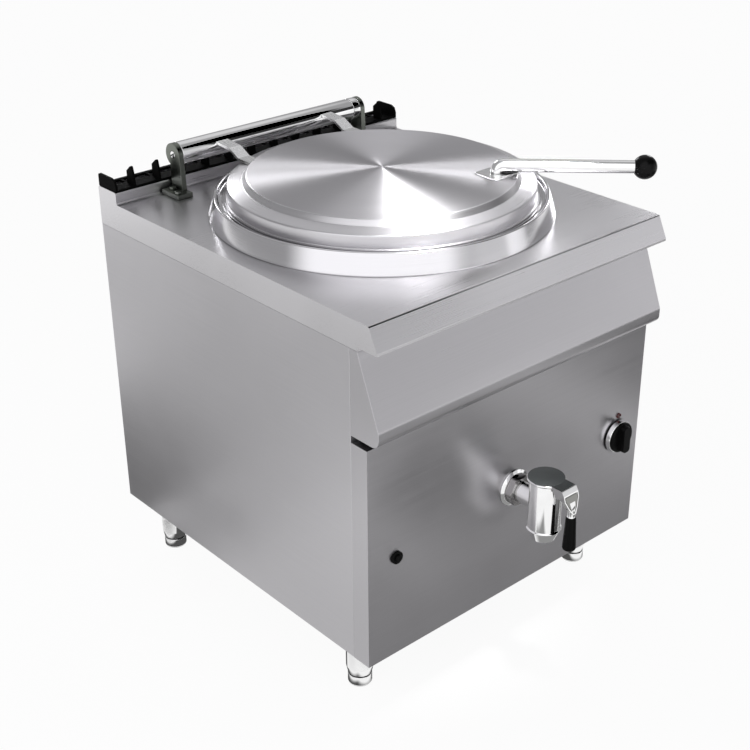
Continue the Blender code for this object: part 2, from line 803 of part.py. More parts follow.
def lid_arms(pivot):
    """Two bent flat bars from the hinge tube down to the lid's outer step."""
    spread = VESSEL_RADIUS * ARM_SPREAD_SHARE
    land = WELL_BACK + math.sqrt((LID_EDGE_RADIUS - ARM_LAND_IN) ** 2 - spread**2)
    path = [
        (HINGE_BACK, TOP + ARM_TUBE_RISE),
        (HINGE_BACK - ARM_BEND_AHEAD, TOP + ARM_BEND_RISE),
        (land, TOP + ARM_LAND_RISE),
        (land - ARM_LAND_LENGTH, TOP + ARM_END_RISE),
    ]
    outline = strip(path, ARM_THICKNESS)
    tube = circle(HINGE_TUBE_RADIUS + GAP, ROUND_SIDES, (HINGE_BACK, HINGE_HEIGHT))
    for name, side in (("lid_arm_left", -1), ("lid_arm_right", 1)):
        middle = side * spread
        low, high = middle - ARM_WIDTH / 2, middle + ARM_WIDTH / 2
        piece = add(name, prism(outline, "X", low, high), "brushed_steel", pivot)
        shaped(piece, lid_block(), place=WELL_AXIS)
        shaped(piece, prism(tube, "X", low - OVERRUN, high + OVERRUN))


def lid_handle(pivot):
    """A plate on the lid, a tube that leaves it towards the front right, and a ball."""
    axis = TOP + HANDLE_RISE
    plate_top = axis - HANDLE_ELBOW - HANDLE_STUB - GAP
    half = Vector((HANDLE_PLATE_WIDTH / 2, HANDLE_PLATE_DEPTH / 2))
    outline = rounded(rectangle(-half, half), HANDLE_PLATE_CORNER, steps=2)
    offset = Vector((HANDLE_RIGHT_SHARE, -HANDLE_FRONT_SHARE, 0)) * LID_PLATEAU_RADIUS
    foot = WELL_AXIS + offset
    plate = prism(outline, "Z", TOP + LID_STEP_RISE, plate_top)
    piece = add("handle_plate", plate, "brushed_steel", pivot, foot)
    shaped(piece, lid_block(), place=WELL_AXIS)

    ball_reach = VESSEL_RADIUS - HANDLE_REACH_IN
    reach = ball_reach - math.sqrt(BALL_RADIUS**2 - HANDLE_RADIUS**2) - GAP
    corners = [(0, 0, -HANDLE_ELBOW - HANDLE_STUB), (0, 0, 0), (reach, 0, 0)]
    path = rounded(corners, HANDLE_ELBOW, steps=5, closed=False)
    place = foot + Z_AXIS * axis
    rod = add("handle_rod", swept(path, HANDLE_RADIUS, 6), "chrome", pivot, place)
    stud = cylinder(STUD_RADIUS, reach - OVERRUN, reach + STUD_LENGTH, COARSE_SIDES, "X")
    shaped(rod, stud, "UNION", place)
    way = Vector((math.cos(HANDLE_ANGLE), math.sin(HANDLE_ANGLE), 0))
    ball = add("handle_ball", ball_mesh(), "black_plastic", pivot, place + way * ball_reach)
    for turned in (rod, rod.modifiers[0].object, ball):
        turned.rotation_euler.z = HANDLE_ANGLE


def ball_mesh():
    """The handle's ball, flat where it meets the rod and bored for the rod's stud."""
    flat = math.asin(HANDLE_RADIUS / BALL_RADIUS)
    steps = FINE_SIDES // 2
    angles = [(math.pi - flat) * step / steps for step in range(steps + 1)]
    outline = [(BALL_RADIUS * math.sin(a), BALL_RADIUS * math.cos(a)) for a in angles]
    face = outline[-1][1]
    bore = STUD_RADIUS + GAP
    end = face + STUD_LENGTH + GAP
    outline += [(bore, face), (bore, end), (0, end)]
    return revolve(outline, FINE_SIDES, "X")


def hinge_brackets(kettle):
    """The two brackets bolted to the worktop, with the slotted pins that the tube turns on."""
    eye = (HINGE_BACK, HINGE_HEIGHT)
    base_top = TOP + GAP + BRACKET_BASE_THICKNESS
    base_front = HINGE_BACK - BRACKET_BASE_AHEAD
    base_back = HINGE_BACK + BRACKET_BASE_BEHIND
    back_angle = math.asin(BRACKET_BASE_BEHIND / HINGE_TUBE_RADIUS)
    first, last = back_angle - math.pi / 2, math.pi
    steps = ROUND_SIDES // 2
    angles = [first + (last - first) * step / steps for step in range(steps + 1)]
    outline = [
        (eye[0] + HINGE_TUBE_RADIUS * math.cos(a), eye[1] + HINGE_TUBE_RADIUS * math.sin(a))
        for a in angles
    ]
    outline.append((HINGE_BACK - BRACKET_FOOT_AHEAD, base_top))
    outline.append((base_front, base_top))
    outline.append((base_front, TOP + GAP))
    outline.append((base_back, TOP + GAP))
    outer = BRACKET_INNER + BRACKET_THICKNESS
    for name, side in (("left", -1), ("right", 1)):
        ends = sorted((side * BRACKET_INNER, side * outer))
        upright = prism(outline, "X", *ends)
        piece = add(f"hinge_bracket_{name}", upright, "brushed_steel", kettle)
        ends = sorted((side * (outer - SHEET), side * (BRACKET_INNER + BRACKET_BASE_WIDTH)))
        low = (ends[0], base_front, TOP + GAP)
        high = (ends[1], base_back, base_top)
        shaped(piece, block(low, high), "UNION")
        holes = [
            prism(
                circle(BOLT_SHANK_RADIUS + GAP, COARSE_SIDES, (side * right, back)),
                "Z",
                TOP - OVERRUN,
                base_top + OVERRUN,
            )
            for right, back in BOLT_SPOTS
        ]
        holes.append(
            prism(
                circle(PIN_RADIUS + GAP, FINE_SIDES, eye),
                "X",
                side * BRACKET_INNER - OVERRUN - BRACKET_THICKNESS,
                side * BRACKET_INNER + OVERRUN + BRACKET_THICKNESS,
            )
        )
        shaped(piece, joined(holes))
        hinge_pin(name, side, kettle)
        for number, (right, back) in enumerate(BOLT_SPOTS, 1):
            place = (side * right, back, base_top + GAP)
            bracket_bolt(f"bracket_bolt_{name}_{number}", place, kettle)


def hinge_pin(name, side, kettle):
    """A slotted pin through a bracket into the tube's bush."""
    outer = side * (BRACKET_INNER + BRACKET_THICKNESS)
    ends = sorted((outer, outer - side * PIN_LENGTH))
    place = (0, HINGE_BACK, HINGE_HEIGHT)
    pin = cylinder(PIN_RADIUS, *ends, FINE_SIDES, "X")
    piece = add(f"hinge_pin_{name}", pin, "chrome", kettle, place)
    half = PIN_SLOT_WIDTH / 2
    edges = sorted((outer - side * PIN_SLOT_DEPTH, outer + side * OVERRUN))
    reach = PIN_RADIUS + OVERRUN
    shaped(piece, block((edges[0], -reach, -half), (edges[1], reach, half)), place=place)


def bracket_bolt(name, place, kettle):
    """A hexagon bolt down through the bracket's foot and the worktop."""
    piece = add(name, cylinder(BOLT_HEAD_RADIUS, 0, BOLT_HEAD_HEIGHT, 6), "chrome", kettle, place)
    depth = BRACKET_BASE_THICKNESS + SHEET + BOLT_REACH
    shank = cylinder(BOLT_SHANK_RADIUS, -depth, BOLT_HEAD_HEIGHT / 2, COARSE_SIDES)
    shaped(piece, shank, "UNION", place)


def hinge_tube(pivot, kettle):
    """The tube that the lid turns with: bushes, an end collar and the spring inside it."""
    axis = (0, HINGE_BACK, HINGE_HEIGHT)
    end = BRACKET_INNER - GAP
    bore = HINGE_TUBE_RADIUS - HINGE_TUBE_WALL
    outline = rectangle((bore, -end), (HINGE_TUBE_RADIUS, end - COLLAR_LENGTH - GAP))
    add("hinge_tube", revolve(outline, ROUND_SIDES, "X"), "chrome", pivot, axis)

    fit = bore - GAP
    turning = PIN_RADIUS + GAP
    shoulder = end - COLLAR_LENGTH
    tail = end - BUSH_LENGTH - COLLAR_LENGTH
    outline = [
        (turning, tail),
        (fit, tail),
        (fit, shoulder),
        (HINGE_TUBE_RADIUS, shoulder),
        (HINGE_TUBE_RADIUS, end),
        (turning, end),
    ]
    add("hinge_collar", revolve(outline, ROUND_SIDES, "X"), "chrome", pivot, axis)
    outline = rectangle((turning, -end), (fit, -end + BUSH_LENGTH))
    add("hinge_bush", revolve(outline, ROUND_SIDES, "X"), "white_nylon", pivot, axis)
    add("spring_anchor", anchor_mesh(fit), "dull_steel", pivot, axis)
    add("hinge_spring", spring_mesh(tail), "dull_steel", kettle, axis)


def anchor_mesh(fit):
    """A disc fixed in the tube, which holds the far end of the spring."""
    return revolve(
        [
            (0, ANCHOR_OFFSET),
            (fit, ANCHOR_OFFSET),
            (fit, ANCHOR_OFFSET + BUSH_LENGTH / 2),
            (0, ANCHOR_OFFSET + BUSH_LENGTH / 2),
        ],
        ROUND_SIDES,
        "X",
    )


def spring_mesh(tail):
    """The torsion spring that helps to lift the lid, between its anchor and the collar."""
    low = ANCHOR_OFFSET + BUSH_LENGTH / 2 + GAP + SPRING_WIRE_RADIUS
    high = tail - GAP - SPRING_WIRE_RADIUS
    count = SPRING_TURNS * SPRING_STEPS
    points = []
    for step in range(count + 1):
        turn = math.tau * step / SPRING_STEPS
        along = low + (high - low) * step / count
        points.append((along, SPRING_RADIUS * math.cos(turn), SPRING_RADIUS * math.sin(turn)))
    return swept(points, SPRING_WIRE_RADIUS, 1)


def flue_duct(kettle):
    """The duct up the back that ends under the grille."""
    front = UPSTAND_FRONT + FLUE_DUCT_FRONT_IN
    back = BACK_PANEL_BACK - 2 * SHEET - GAP
    half = HALF_WIDTH - FLUE_SLOT_END
    top = UPSTAND_TOP - SHEET - GAP
    mesh = block((-half, front, FLUE_DUCT_BOTTOM), (half, back, top))
    piece = add("flue_duct", mesh, "dull_steel", kettle)
    low = (-half + SHEET, front + SHEET, FLUE_DUCT_BOTTOM - OVERRUN)
    high = (half - SHEET, back - SHEET, top + OVERRUN)
    shaped(piece, block(low, high))


def fin_outline(front, rear, base):
    """A fin from its side, with the grille's foot under it."""
    floor = base + GRILLE_BASE
    peak = front + FIN_PEAK_IN
    tail = front + FIN_TAIL_IN
    crown = rounded(
        [
            (front, floor),
            (front + FIN_LEAN, TOP + FIN_SHOULDER_RISE),
            (peak - FIN_PEAK_LENGTH, TOP + FIN_PEAK_RISE),
            (peak, TOP + FIN_PEAK_RISE),
            (tail, TOP + FIN_TAIL_RISE),
        ],
        GRILLE_WALL / 2,
        closed=False,
    )
    return [(front, base), *crown, (tail, floor), (rear, floor), (rear, base)]


def flue_grille(kettle):
    """The cast grille on the upstand: a slotted foot with upright fins and two end plates."""
    front = UPSTAND_FRONT
    rear = DEPTH - GRILLE_BACK_INSET
    base = UPSTAND_TOP + GAP
    floor = base + GRILLE_BASE
    end = HALF_WIDTH - GRILLE_INSET
    mesh = prism(fin_outline(front, rear, base), "X", -end, end)
    piece = add("flue_grille", mesh, "black_enamel", kettle)

    pitch = (WIDTH - 2 * FIN_EDGE) / FIN_BAYS
    fins = [-HALF_WIDTH + FIN_EDGE + pitch * bay for bay in range(FIN_BAYS + 1)]
    lefts = [-end + GRILLE_WALL] + [fin + FIN_THICKNESS / 2 for fin in fins]
    rights = [fin - FIN_THICKNESS / 2 for fin in fins] + [end - GRILLE_WALL]
    slot_front = front + FLUE_SLOT_IN
    slot_back = slot_front + FLUE_SLOT_WIDTH
    over = TOP + FIN_PEAK_RISE + OVERRUN
    bay_outline = [
        (slot_front, base - OVERRUN),
        (slot_front, floor),
        (front - OVERRUN, floor),
        (front - OVERRUN, over),
        (slot_back, over),
        (slot_back, base - OVERRUN),
    ]
    bays = [prism(bay_outline, "X", left, right) for left, right in zip(lefts, rights)]
    shaped(piece, joined(bays))

    end_shape = rectangle((front, base), (rear, TOP + END_PLATE_RISE))
    plate_outline = rounded(end_shape, [0, 0, END_PLATE_REAR_CORNER, END_PLATE_CORNER])
    for low, high in ((-end - OVERRUN, lefts[0]), (rights[-1], end + OVERRUN)):
        shaped(piece, block((low, front - OVERRUN, floor), (high, rear + OVERRUN, over)))
    for low, high in ((-end, lefts[0]), (rights[-1], end)):
        shaped(piece, prism(plate_outline, "X", low, high), "UNION")


def tap_fixed(kettle):
    """The tap on the front: wall flange, hexagon nut, and a body with inlet and spout."""
    place = (0, 0, DRAIN_HEIGHT)
    bore = PIPE_RADIUS + GAP
    wall = FRONT_PANEL_BACK - GAP
    face = wall - FLANGE_THICKNESS
    edge = FLANGE_THICKNESS / 2
    outline = [(bore, wall), (FLANGE_RADIUS, wall), (FLANGE_RADIUS, wall - edge)]
    outline += [(FLANGE_RADIUS - edge, face), (bore, face)]
    add("tap_flange", revolve(outline, ROUND_SIDES, "Y"), "chrome", kettle, place)

    nut_back = face - GAP
    nut_front = nut_back - NUT_THICKNESS
    corner = NUT_ACROSS / 2 / math.cos(math.pi / 6)
    nut = add("tap_nut", cylinder(corner, nut_front, nut_back, 6, "Y"), "chrome", kettle, place)
    cut = cylinder(bore, nut_front - OVERRUN, nut_back + OVERRUN, FINE_SIDES, "Y")
    shaped(nut, cut, place=place)

    below = DRAIN_HEIGHT - TAP_BEAD_DROP
    shoulder = below - TAP_BEAD_HEIGHT
    outline = [
        (0, TAP_TOP),
        (TAP_RADIUS, TAP_TOP),
        (TAP_RADIUS, below),
        (TAP_BEAD_RADIUS, below - TAP_BEAD_EDGE),
        (TAP_BEAD_RADIUS, shoulder + TAP_BEAD_EDGE),
        (TAP_RADIUS, shoulder),
        (TAP_SPOUT_RADIUS, DRAIN_HEIGHT - TAP_SPOUT_DROP),
        (0, DRAIN_HEIGHT - TAP_SPOUT_DROP),
    ]
    body = add("tap_body", revolve(outline, ROUND_SIDES), "chrome", kettle, (0, TAP_Y, 0))
    neck_end = FRONT_PANEL_BACK - NUT_JOINT - GAP
    neck = cylinder(PIPE_RADIUS, TAP_Y, neck_end, FINE_SIDES, "Y")
    shaped(body, neck, "UNION", place)
    cavity = PLUG_RADIUS + GAP
    seat = DRAIN_HEIGHT - PLUG_DROP - GAP
    inside = [
        (0, TAP_TOP + OVERRUN),
        (cavity, TAP_TOP + OVERRUN),
        (cavity, seat),
        (TAP_BORE, seat),
        (TAP_BORE, DRAIN_HEIGHT - TAP_SPOUT_DROP - OVERRUN),
        (0, DRAIN_HEIGHT - TAP_SPOUT_DROP - OVERRUN),
    ]
    shaped(body, revolve(inside, FINE_SIDES), place=(0, TAP_Y, 0))
    inlet = cylinder(TAP_BORE, TAP_Y, neck_end + OVERRUN, FINE_SIDES, "Y")
    shaped(body, inlet, place=place)


def tap_turning(pivot):
    """The plug with its side port, and the cap, lever and grip that turn it."""
    place = (0, TAP_Y, 0)
    bottom = DRAIN_HEIGHT - PLUG_DROP
    plug = cylinder(PLUG_RADIUS, bottom, TAP_TOP, FINE_SIDES)
    plug = add("tap_plug", plug, "brass", pivot, place)
    way_down = cylinder(TAP_BORE, bottom - OVERRUN, DRAIN_HEIGHT + PLUG_MEET, FINE_SIDES)
    shaped(plug, way_down, place=place)
    port = cylinder(TAP_BORE, -PLUG_MEET, PLUG_RADIUS + OVERRUN, COARSE_SIDES, "X")
    shaped(plug, port, place=(0, TAP_Y, DRAIN_HEIGHT))

    cap_bottom = TAP_TOP + GAP
    crown = LEVER_TOP - CAP_CROWN
    outline = [
        (0, LEVER_TOP),
        (CAP_RADIUS - CAP_CROWN, crown),
        (CAP_RADIUS, crown - CAP_CROWN),
        (CAP_RADIUS, cap_bottom),
        (0, cap_bottom),
    ]
    cap = add("tap_lever", revolve(outline, ROUND_SIDES), "chrome", pivot, place)
    half = LEVER_WIDTH / 2
    fold = LEVER_REACH + LEVER_FOLD_OUT
    fold_height = LEVER_TOP - LEVER_FOLD_DROP
    cheek = LEVER_TOP - CHEEK_DROP
    tip = LEVER_TOP - SHIELD_DROP
    side = [
        (0, crown),
        (0, cap_bottom),
        (-CHEEK_IN, cap_bottom),
        (-CHEEK_TURN, cheek),
        (-LEVER_REACH, cheek),
        (SHIELD_FOOT - SHIELD_REACH, tip),
        (-SHIELD_REACH, tip),
        (-fold, fold_height),
        (-LEVER_REACH, crown),
    ]
    shaped(cap, prism(side, "X", -half, half), "UNION", place)
    arm = cap.modifiers[-1].object
    left = [(-half, LEVER_TOP + OVERRUN), (-half, cheek)]
    left += [(-out, LEVER_TOP - drop) for out, drop in SHIELD_SIDES]
    left.append((left[-1][0], tip - OVERRUN))
    front = left + [(-across, height) for across, height in reversed(left)]
    far = SHIELD_REACH + OVERRUN
    shaped(arm, prism(front, "Y", -far, OVERRUN), "INTERSECT", place)

    grip_place = (0, -GRIP_FORWARD, 0)
    ferrule = cylinder(FERRULE_RADIUS, LEVER_BOTTOM, cheek, COARSE_SIDES)
    shaped(cap, ferrule, "UNION", grip_place)
    ferrule = cap.modifiers[-1].object
    behind = [
        (0, fold_height),
        (FERRULE_IN - fold, fold_height),
        (FERRULE_IN - SHIELD_REACH, tip),
        (FERRULE_IN - SHIELD_REACH, LEVER_BOTTOM - OVERRUN),
        (0, LEVER_BOTTOM - OVERRUN),
    ]
    shaped(ferrule, prism(behind, "X", -half, half), "INTERSECT", place)
    stud_low = LEVER_BOTTOM - GRIP_STUD_LENGTH
    stud_high = LEVER_BOTTOM + GRIP_STUD_ROOT
    stud = cylinder(GRIP_STUD_RADIUS, stud_low, stud_high, COARSE_SIDES)
    shaped(cap, stud, "UNION", grip_place)

    low = GRIP_TOP - GRIP_LENGTH
    bore = GRIP_STUD_RADIUS + GAP
    path = [
        (bore, stud_low - GAP),
        (bore, GRIP_TOP),
        (GRIP_TOP_RADIUS, GRIP_TOP),
        (GRIP_BOTTOM_RADIUS, low + GRIP_CORNER),
        (GRIP_BOTTOM_RADIUS - GRIP_CORNER, low),
        (0, low),
    ]
    outline = [(0, stud_low - GAP)] + path
    add("tap_grip", revolve(outline, FINE_SIDES), "black_plastic", pivot, grip_place)


def gas_control(kettle, spindle, knob):
    """The gas valve behind the panel, its spindle, and the knob that slides on it."""
    inner = FRONT_PANEL_BACK + SHEET + GAP
    half_width, half_height = VALVE_WIDTH / 2, VALVE_HEIGHT / 2
    low = (KNOB_RIGHT - half_width, inner, KNOB_HEIGHT - half_height)
    high = (KNOB_RIGHT + half_width, inner + VALVE_DEPTH, KNOB_HEIGHT + half_height / 2)
    valve = add("gas_valve", block(low, high), "brass", kettle)
    place = (KNOB_RIGHT, 0, KNOB_HEIGHT)
    bore_end = inner + VALVE_BORE_DEPTH
    bore = cylinder(SPINDLE_RADIUS + GAP, inner - OVERRUN, bore_end, COARSE_SIDES, "Y")
    shaped(valve, bore, place=place)

    skirt_back = FRONT_PANEL_BACK - KNOB_STANDOFF
    skirt_front = skirt_back - SKIRT_LENGTH
    dial_back = skirt_front - GAP
    hub = SPINDLE_RADIUS + GAP
    spindle_end = dial_back - SPINDLE_SOCKET
    rod = cylinder(SPINDLE_RADIUS, spindle_end, bore_end - GAP, COARSE_SIDES, "Y")
    add("valve_spindle", rod, "dull_steel", spindle, place)
    outline = [
        (hub, skirt_front),
        (SKIRT_FRONT_RADIUS, skirt_front),
        (SKIRT_RADIUS, skirt_back),
        (SKIRT_RADIUS - SKIRT_WALL, skirt_back),
        (SKIRT_FRONT_RADIUS - SKIRT_WALL, skirt_front + SKIRT_WALL),
        (hub, skirt_front + SKIRT_WALL),
    ]
    add("knob_skirt", revolve(outline, ROUND_SIDES, "Y"), "chrome", knob, place)

    dial_front = dial_back - DIAL_THICKNESS
    outline = [
        (0, dial_back),
        (DIAL_RADIUS, dial_back),
        (DIAL_RADIUS, dial_front + DIAL_EDGE),
        (DIAL_RADIUS - DIAL_EDGE, dial_front),
        (0, dial_front),
    ]
    dial = add("knob_grip", revolve(outline, ROUND_SIDES, "Y"), "black_plastic", knob, place)
    half = Vector((WING_WIDTH / 2, WING_LENGTH / 2))
    wing = rounded(rectangle(-half, half), WING_CORNER)
    wing = prism(wing, "Y", dial_front - WING_DEPTH, dial_back - DIAL_EDGE)
    shaped(dial, wing, "UNION", place)
    socket_end = spindle_end - KNOB_PUSH - GAP
    socket = cylinder(hub, socket_end, dial_back + OVERRUN, COARSE_SIDES, "Y")
    shaped(dial, socket, place=place)


def lamp(kettle):
    """The small indicator lamp over the knob."""
    wall = FRONT_PANEL_BACK - GAP
    place = (LAMP_RIGHT, 0, KNOB_HEIGHT + LAMP_RISE)
    outline = [
        (0, wall - LAMP_PROUD),
        (LAMP_RADIUS / 2, wall - LAMP_PROUD),
        (LAMP_RADIUS, wall - LAMP_PROUD / 2),
        (LAMP_RADIUS, wall),
        (LAMP_SHANK_RADIUS, wall),
        (LAMP_SHANK_RADIUS, wall + LAMP_SHANK_LENGTH),
        (0, wall + LAMP_SHANK_LENGTH),
    ]
    add("indicator_lamp", revolve(outline, COARSE_SIDES, "Y"), "red_lens", kettle, place)


def igniter(kettle, pivot):
    """The spark igniter: a knurled collar with a push button in it."""
    wall = FRONT_PANEL_BACK - GAP
    place = (IGNITER_RIGHT, 0, IGNITER_HEIGHT)
    front = wall - IGNITER_COLLAR_LENGTH
    knurls = []
    for side in range(2 * IGNITER_KNURLS):
        turn = math.pi * side / IGNITER_KNURLS
        radius = IGNITER_COLLAR_RADIUS - IGNITER_KNURL_DEPTH * (side % 2)
        knurls.append((radius * math.cos(turn), radius * math.sin(turn)))
    collar = prism(knurls, "Y", front, wall)
    collar = add("igniter_housing", collar, "black_plastic", kettle, place)
    shank_end = wall + IGNITER_SHANK_LENGTH
    shank = cylinder(IGNITER_SHANK_RADIUS, wall - SHEET, shank_end, COARSE_SIDES, "Y")
    shaped(collar, shank, "UNION", place)
    stem_end = front + BUTTON_STEM
    bore_end = stem_end + BUTTON_TRAVEL + GAP
    bore = cylinder(BUTTON_RADIUS + GAP, front - OVERRUN, bore_end, FINE_SIDES, "Y")
    shaped(collar, bore, place=place)
    tip = front - BUTTON_PROUD
    outline = [
        (0, tip),
        (BUTTON_RADIUS - BUTTON_EDGE, tip),
        (BUTTON_RADIUS, tip + BUTTON_EDGE),
        (BUTTON_RADIUS, stem_end),
        (0, stem_end),
    ]
    add("igniter_button", revolve(outline, FINE_SIDES, "Y"), "black_plastic", pivot, place)


def burner(kettle):
    """The ring burner under the jacket, its support and the gas pipe to it."""
    floor = TRAY_FLOOR + SHEET + GAP
    top = BURNER_HEIGHT - BURNER_TUBE - GAP
    path = [
        (-SUPPORT_HALF_FOOT, floor),
        (-SUPPORT_HALF_TOP - SUPPORT_SPLAY, floor),
        (-SUPPORT_HALF_TOP, top - SHEET),
        (SUPPORT_HALF_TOP, top - SHEET),
        (SUPPORT_HALF_TOP + SUPPORT_SPLAY, floor),
        (SUPPORT_HALF_FOOT, floor),
    ]
    half = SUPPORT_WIDTH / 2
    support = prism(strip(path, SHEET), "Y", WELL_BACK - half, WELL_BACK + half)
    add("burner_support", support, "dull_steel", kettle)
    ring = circle(BURNER_TUBE, BURNER_SIDES, (BURNER_RADIUS, BURNER_HEIGHT))
    add("ring_burner", revolve(ring, BURNER_STEPS), "cast_iron", kettle, WELL_AXIS)

    valve_bottom = KNOB_HEIGHT - VALVE_HEIGHT / 2 - GAP
    valve_middle = FRONT_PANEL_BACK + SHEET + GAP + VALVE_DEPTH / 2
    reach = BURNER_RADIUS + BURNER_TUBE + GAP
    path = rounded(
        [
            (KNOB_RIGHT, valve_middle, valve_bottom),
            (KNOB_RIGHT, valve_middle, BURNER_HEIGHT),
            (KNOB_RIGHT, WELL_BACK, BURNER_HEIGHT),
            (reach, WELL_BACK, BURNER_HEIGHT),
        ],
        GAS_PIPE_BEND,
        closed=False,
    )
    add("gas_pipe", swept(path, GAS_PIPE_RADIUS, 3), "brass", kettle)


def leg(name, right, back, kettle):
    """A leg tube under the cabinet's floor, with a foot that screws out of it."""
    top = TRAY_FLOOR - GAP
    foot_top = FOOT_HEIGHT
    bottom = foot_top + FOOT_LINE
    bore = STEM_RADIUS + GAP
    socket = foot_top + STEM_LENGTH + GAP
    outline = [
        (0, top),
        (LEG_FLANGE_RADIUS, top),
        (LEG_FLANGE_RADIUS, top - SHEET),
        (LEG_RADIUS, top - SHEET),
        (LEG_RADIUS, bottom + LEG_TAPER),
        (FOOT_RADIUS, bottom),
        (bore, bottom),
        (bore, socket),
        (0, socket),
    ]
    place = (right, back, 0)
    add(f"leg_{name}", revolve(outline, COARSE_SIDES), "chrome", kettle, place)

    pivot = empty(f"foot_{name}_slide", place, kettle)
    outline = [
        (0, 0),
        (FOOT_RADIUS - FOOT_CORNER, 0),
        (FOOT_RADIUS, FOOT_CORNER),
        (FOOT_RADIUS, foot_top),
        (STEM_RADIUS, foot_top),
        (STEM_RADIUS, foot_top + STEM_LENGTH),
        (0, foot_top + STEM_LENGTH),
    ]
    add(f"foot_{name}", revolve(outline, COARSE_SIDES), "chrome", pivot, place)


def legs(kettle):
    """Four legs with their feet."""
    out = HALF_WIDTH - LEG_INSET
    for side, right in (("left", -out), ("right", out)):
        for end, back in (("front", LEG_FRONT_BACK), ("rear", DEPTH - LEG_REAR_IN)):
            leg(f"{end}_{side}", right, back, kettle)


def build():
    """Make the whole kettle."""
    clear_scene()
    kettle = empty("kettle", (0, FRONT_Y, 0))
    lid_pivot = empty("lid_hinge", (0, HINGE_BACK, HINGE_HEIGHT), kettle)
    tap_pivot = empty("tap_turn", (0, TAP_Y, DRAIN_HEIGHT), kettle)
    knob_place = (KNOB_RIGHT, FRONT_PANEL_BACK, KNOB_HEIGHT)
    spindle_pivot = empty("spindle_turn", knob_place, kettle)
    knob_pivot = empty("knob_push", knob_place, kettle)
    button_place = (IGNITER_RIGHT, FRONT_PANEL_BACK, IGNITER_HEIGHT)
    button_pivot = empty("igniter_push", button_place, kettle)

    worktop(kettle)
    fascia(kettle)
    panels(kettle)
    well_ring(kettle)
    vessel(kettle)
    jacket(kettle)
    drain_pipe(kettle)
    hinge_brackets(kettle)
    hinge_tube(lid_pivot, kettle)
    lid(lid_pivot)
    flue_duct(kettle)
    flue_grille(kettle)
    tap_fixed(kettle)
    tap_turning(tap_pivot)
    gas_control(kettle, spindle_pivot, knob_pivot)
    lamp(kettle)
    igniter(kettle, button_pivot)
    burner(kettle)
    legs(kettle)


build()
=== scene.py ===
"""Looks of the steam jacketed kettle: finely turned pieces, finishes, floor, light, camera.

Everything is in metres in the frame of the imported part, with +z up, the floor at z = 0
and the front facing -y.
"""

import math

import bmesh
import bpy
from mathutils import Matrix, Vector


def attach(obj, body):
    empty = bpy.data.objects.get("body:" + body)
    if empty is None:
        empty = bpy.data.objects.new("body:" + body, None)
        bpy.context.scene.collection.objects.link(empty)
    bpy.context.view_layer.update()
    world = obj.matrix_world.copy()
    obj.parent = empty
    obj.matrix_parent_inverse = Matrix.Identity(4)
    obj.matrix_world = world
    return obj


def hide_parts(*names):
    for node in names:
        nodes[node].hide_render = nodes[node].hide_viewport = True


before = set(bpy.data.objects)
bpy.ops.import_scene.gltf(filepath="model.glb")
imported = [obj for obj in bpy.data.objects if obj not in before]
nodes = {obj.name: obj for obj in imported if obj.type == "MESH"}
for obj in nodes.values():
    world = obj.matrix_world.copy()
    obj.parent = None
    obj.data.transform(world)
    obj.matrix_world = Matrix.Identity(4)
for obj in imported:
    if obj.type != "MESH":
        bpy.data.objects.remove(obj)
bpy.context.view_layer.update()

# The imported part's own places
FRONT = -0.3555
TOP = 0.880
WELL = Vector((0, FRONT + 0.412, 0))
HINGE = Vector((0, FRONT + 0.790, TOP + 0.084))
DRAIN = Vector((0, FRONT, 0.384))
TAP = Vector((0, FRONT - 0.0795, 0))
KNOB = Vector((0.326, FRONT, 0.3815))
GAP = 0.0003
SHEET = 0.002

# How finely round things are turned
DISC = 192
ROUND = 96
SMALL = 64


def finished(shape, name, sharp=30):
    """A mesh from a bmesh, faces out, smooth but for its creases."""
    bmesh.ops.recalc_face_normals(shape, faces=shape.faces)
    mesh = bpy.data.meshes.new(name)
    shape.to_mesh(mesh)
    shape.free()
    mesh.shade_smooth()
    if sharp:
        mesh.set_sharp_from_angle(angle=math.radians(sharp))
    return mesh


def arc(before, corner, after, radius, steps):
    """The points that round one corner of a path."""
    inward = (corner - before).normalized()
    outward = (after - corner).normalized()
    turn = inward.angle(outward)
    setback = radius * math.tan(turn / 2)
    aside = (outward - inward * inward.dot(outward)).normalized()
    centre = corner - inward * setback + aside * radius
    angles = [turn * step / steps for step in range(steps + 1)]
    return [centre - aside * radius * math.cos(a) + inward * radius * math.sin(a) for a in angles]


def rounded(points, radii, steps=8, closed=True):
    """The points with corners rounded; radii is one value, or one for each corner."""
    corners = [Vector(point) for point in points]
    count = len(corners)
    if not isinstance(radii, (list, tuple)):
        radii = [radii] * count
    path = []
    for index, corner in enumerate(corners):
        if not radii[index] or (not closed and index in (0, count - 1)):
            path.append(corner)
        else:
            after = corners[(index + 1) % count]
            path.extend(arc(corners[index - 1], corner, after, radii[index], steps))
    return path


def strip(path, thickness):
    """The closed outline of a sheet that follows a path, with the sheet to its left."""
    path = [Vector(point) for point in path]
    sides = []
    for start, end in zip(path, path[1:]):
        way = (end - start).normalized()
        sides.append(Vector((-way.y, way.x)))
    moved = []
    for index, point in enumerate(path):
        first = sides[max(index - 1, 0)]
        last = sides[min(index, len(sides) - 1)]
        moved.append(point + (first + last) * thickness / (1 + first.dot(last)))
    return path + moved[::-1]


PLANES = {
    "X": (Vector((0, 1, 0)), Vector((0, 0, 1)), Vector((1, 0, 0))),
    "Y": (Vector((1, 0, 0)), Vector((0, 0, 1)), Vector((0, 1, 0))),
    "Z": (Vector((1, 0, 0)), Vector((0, 1, 0)), Vector((0, 0, 1))),
}


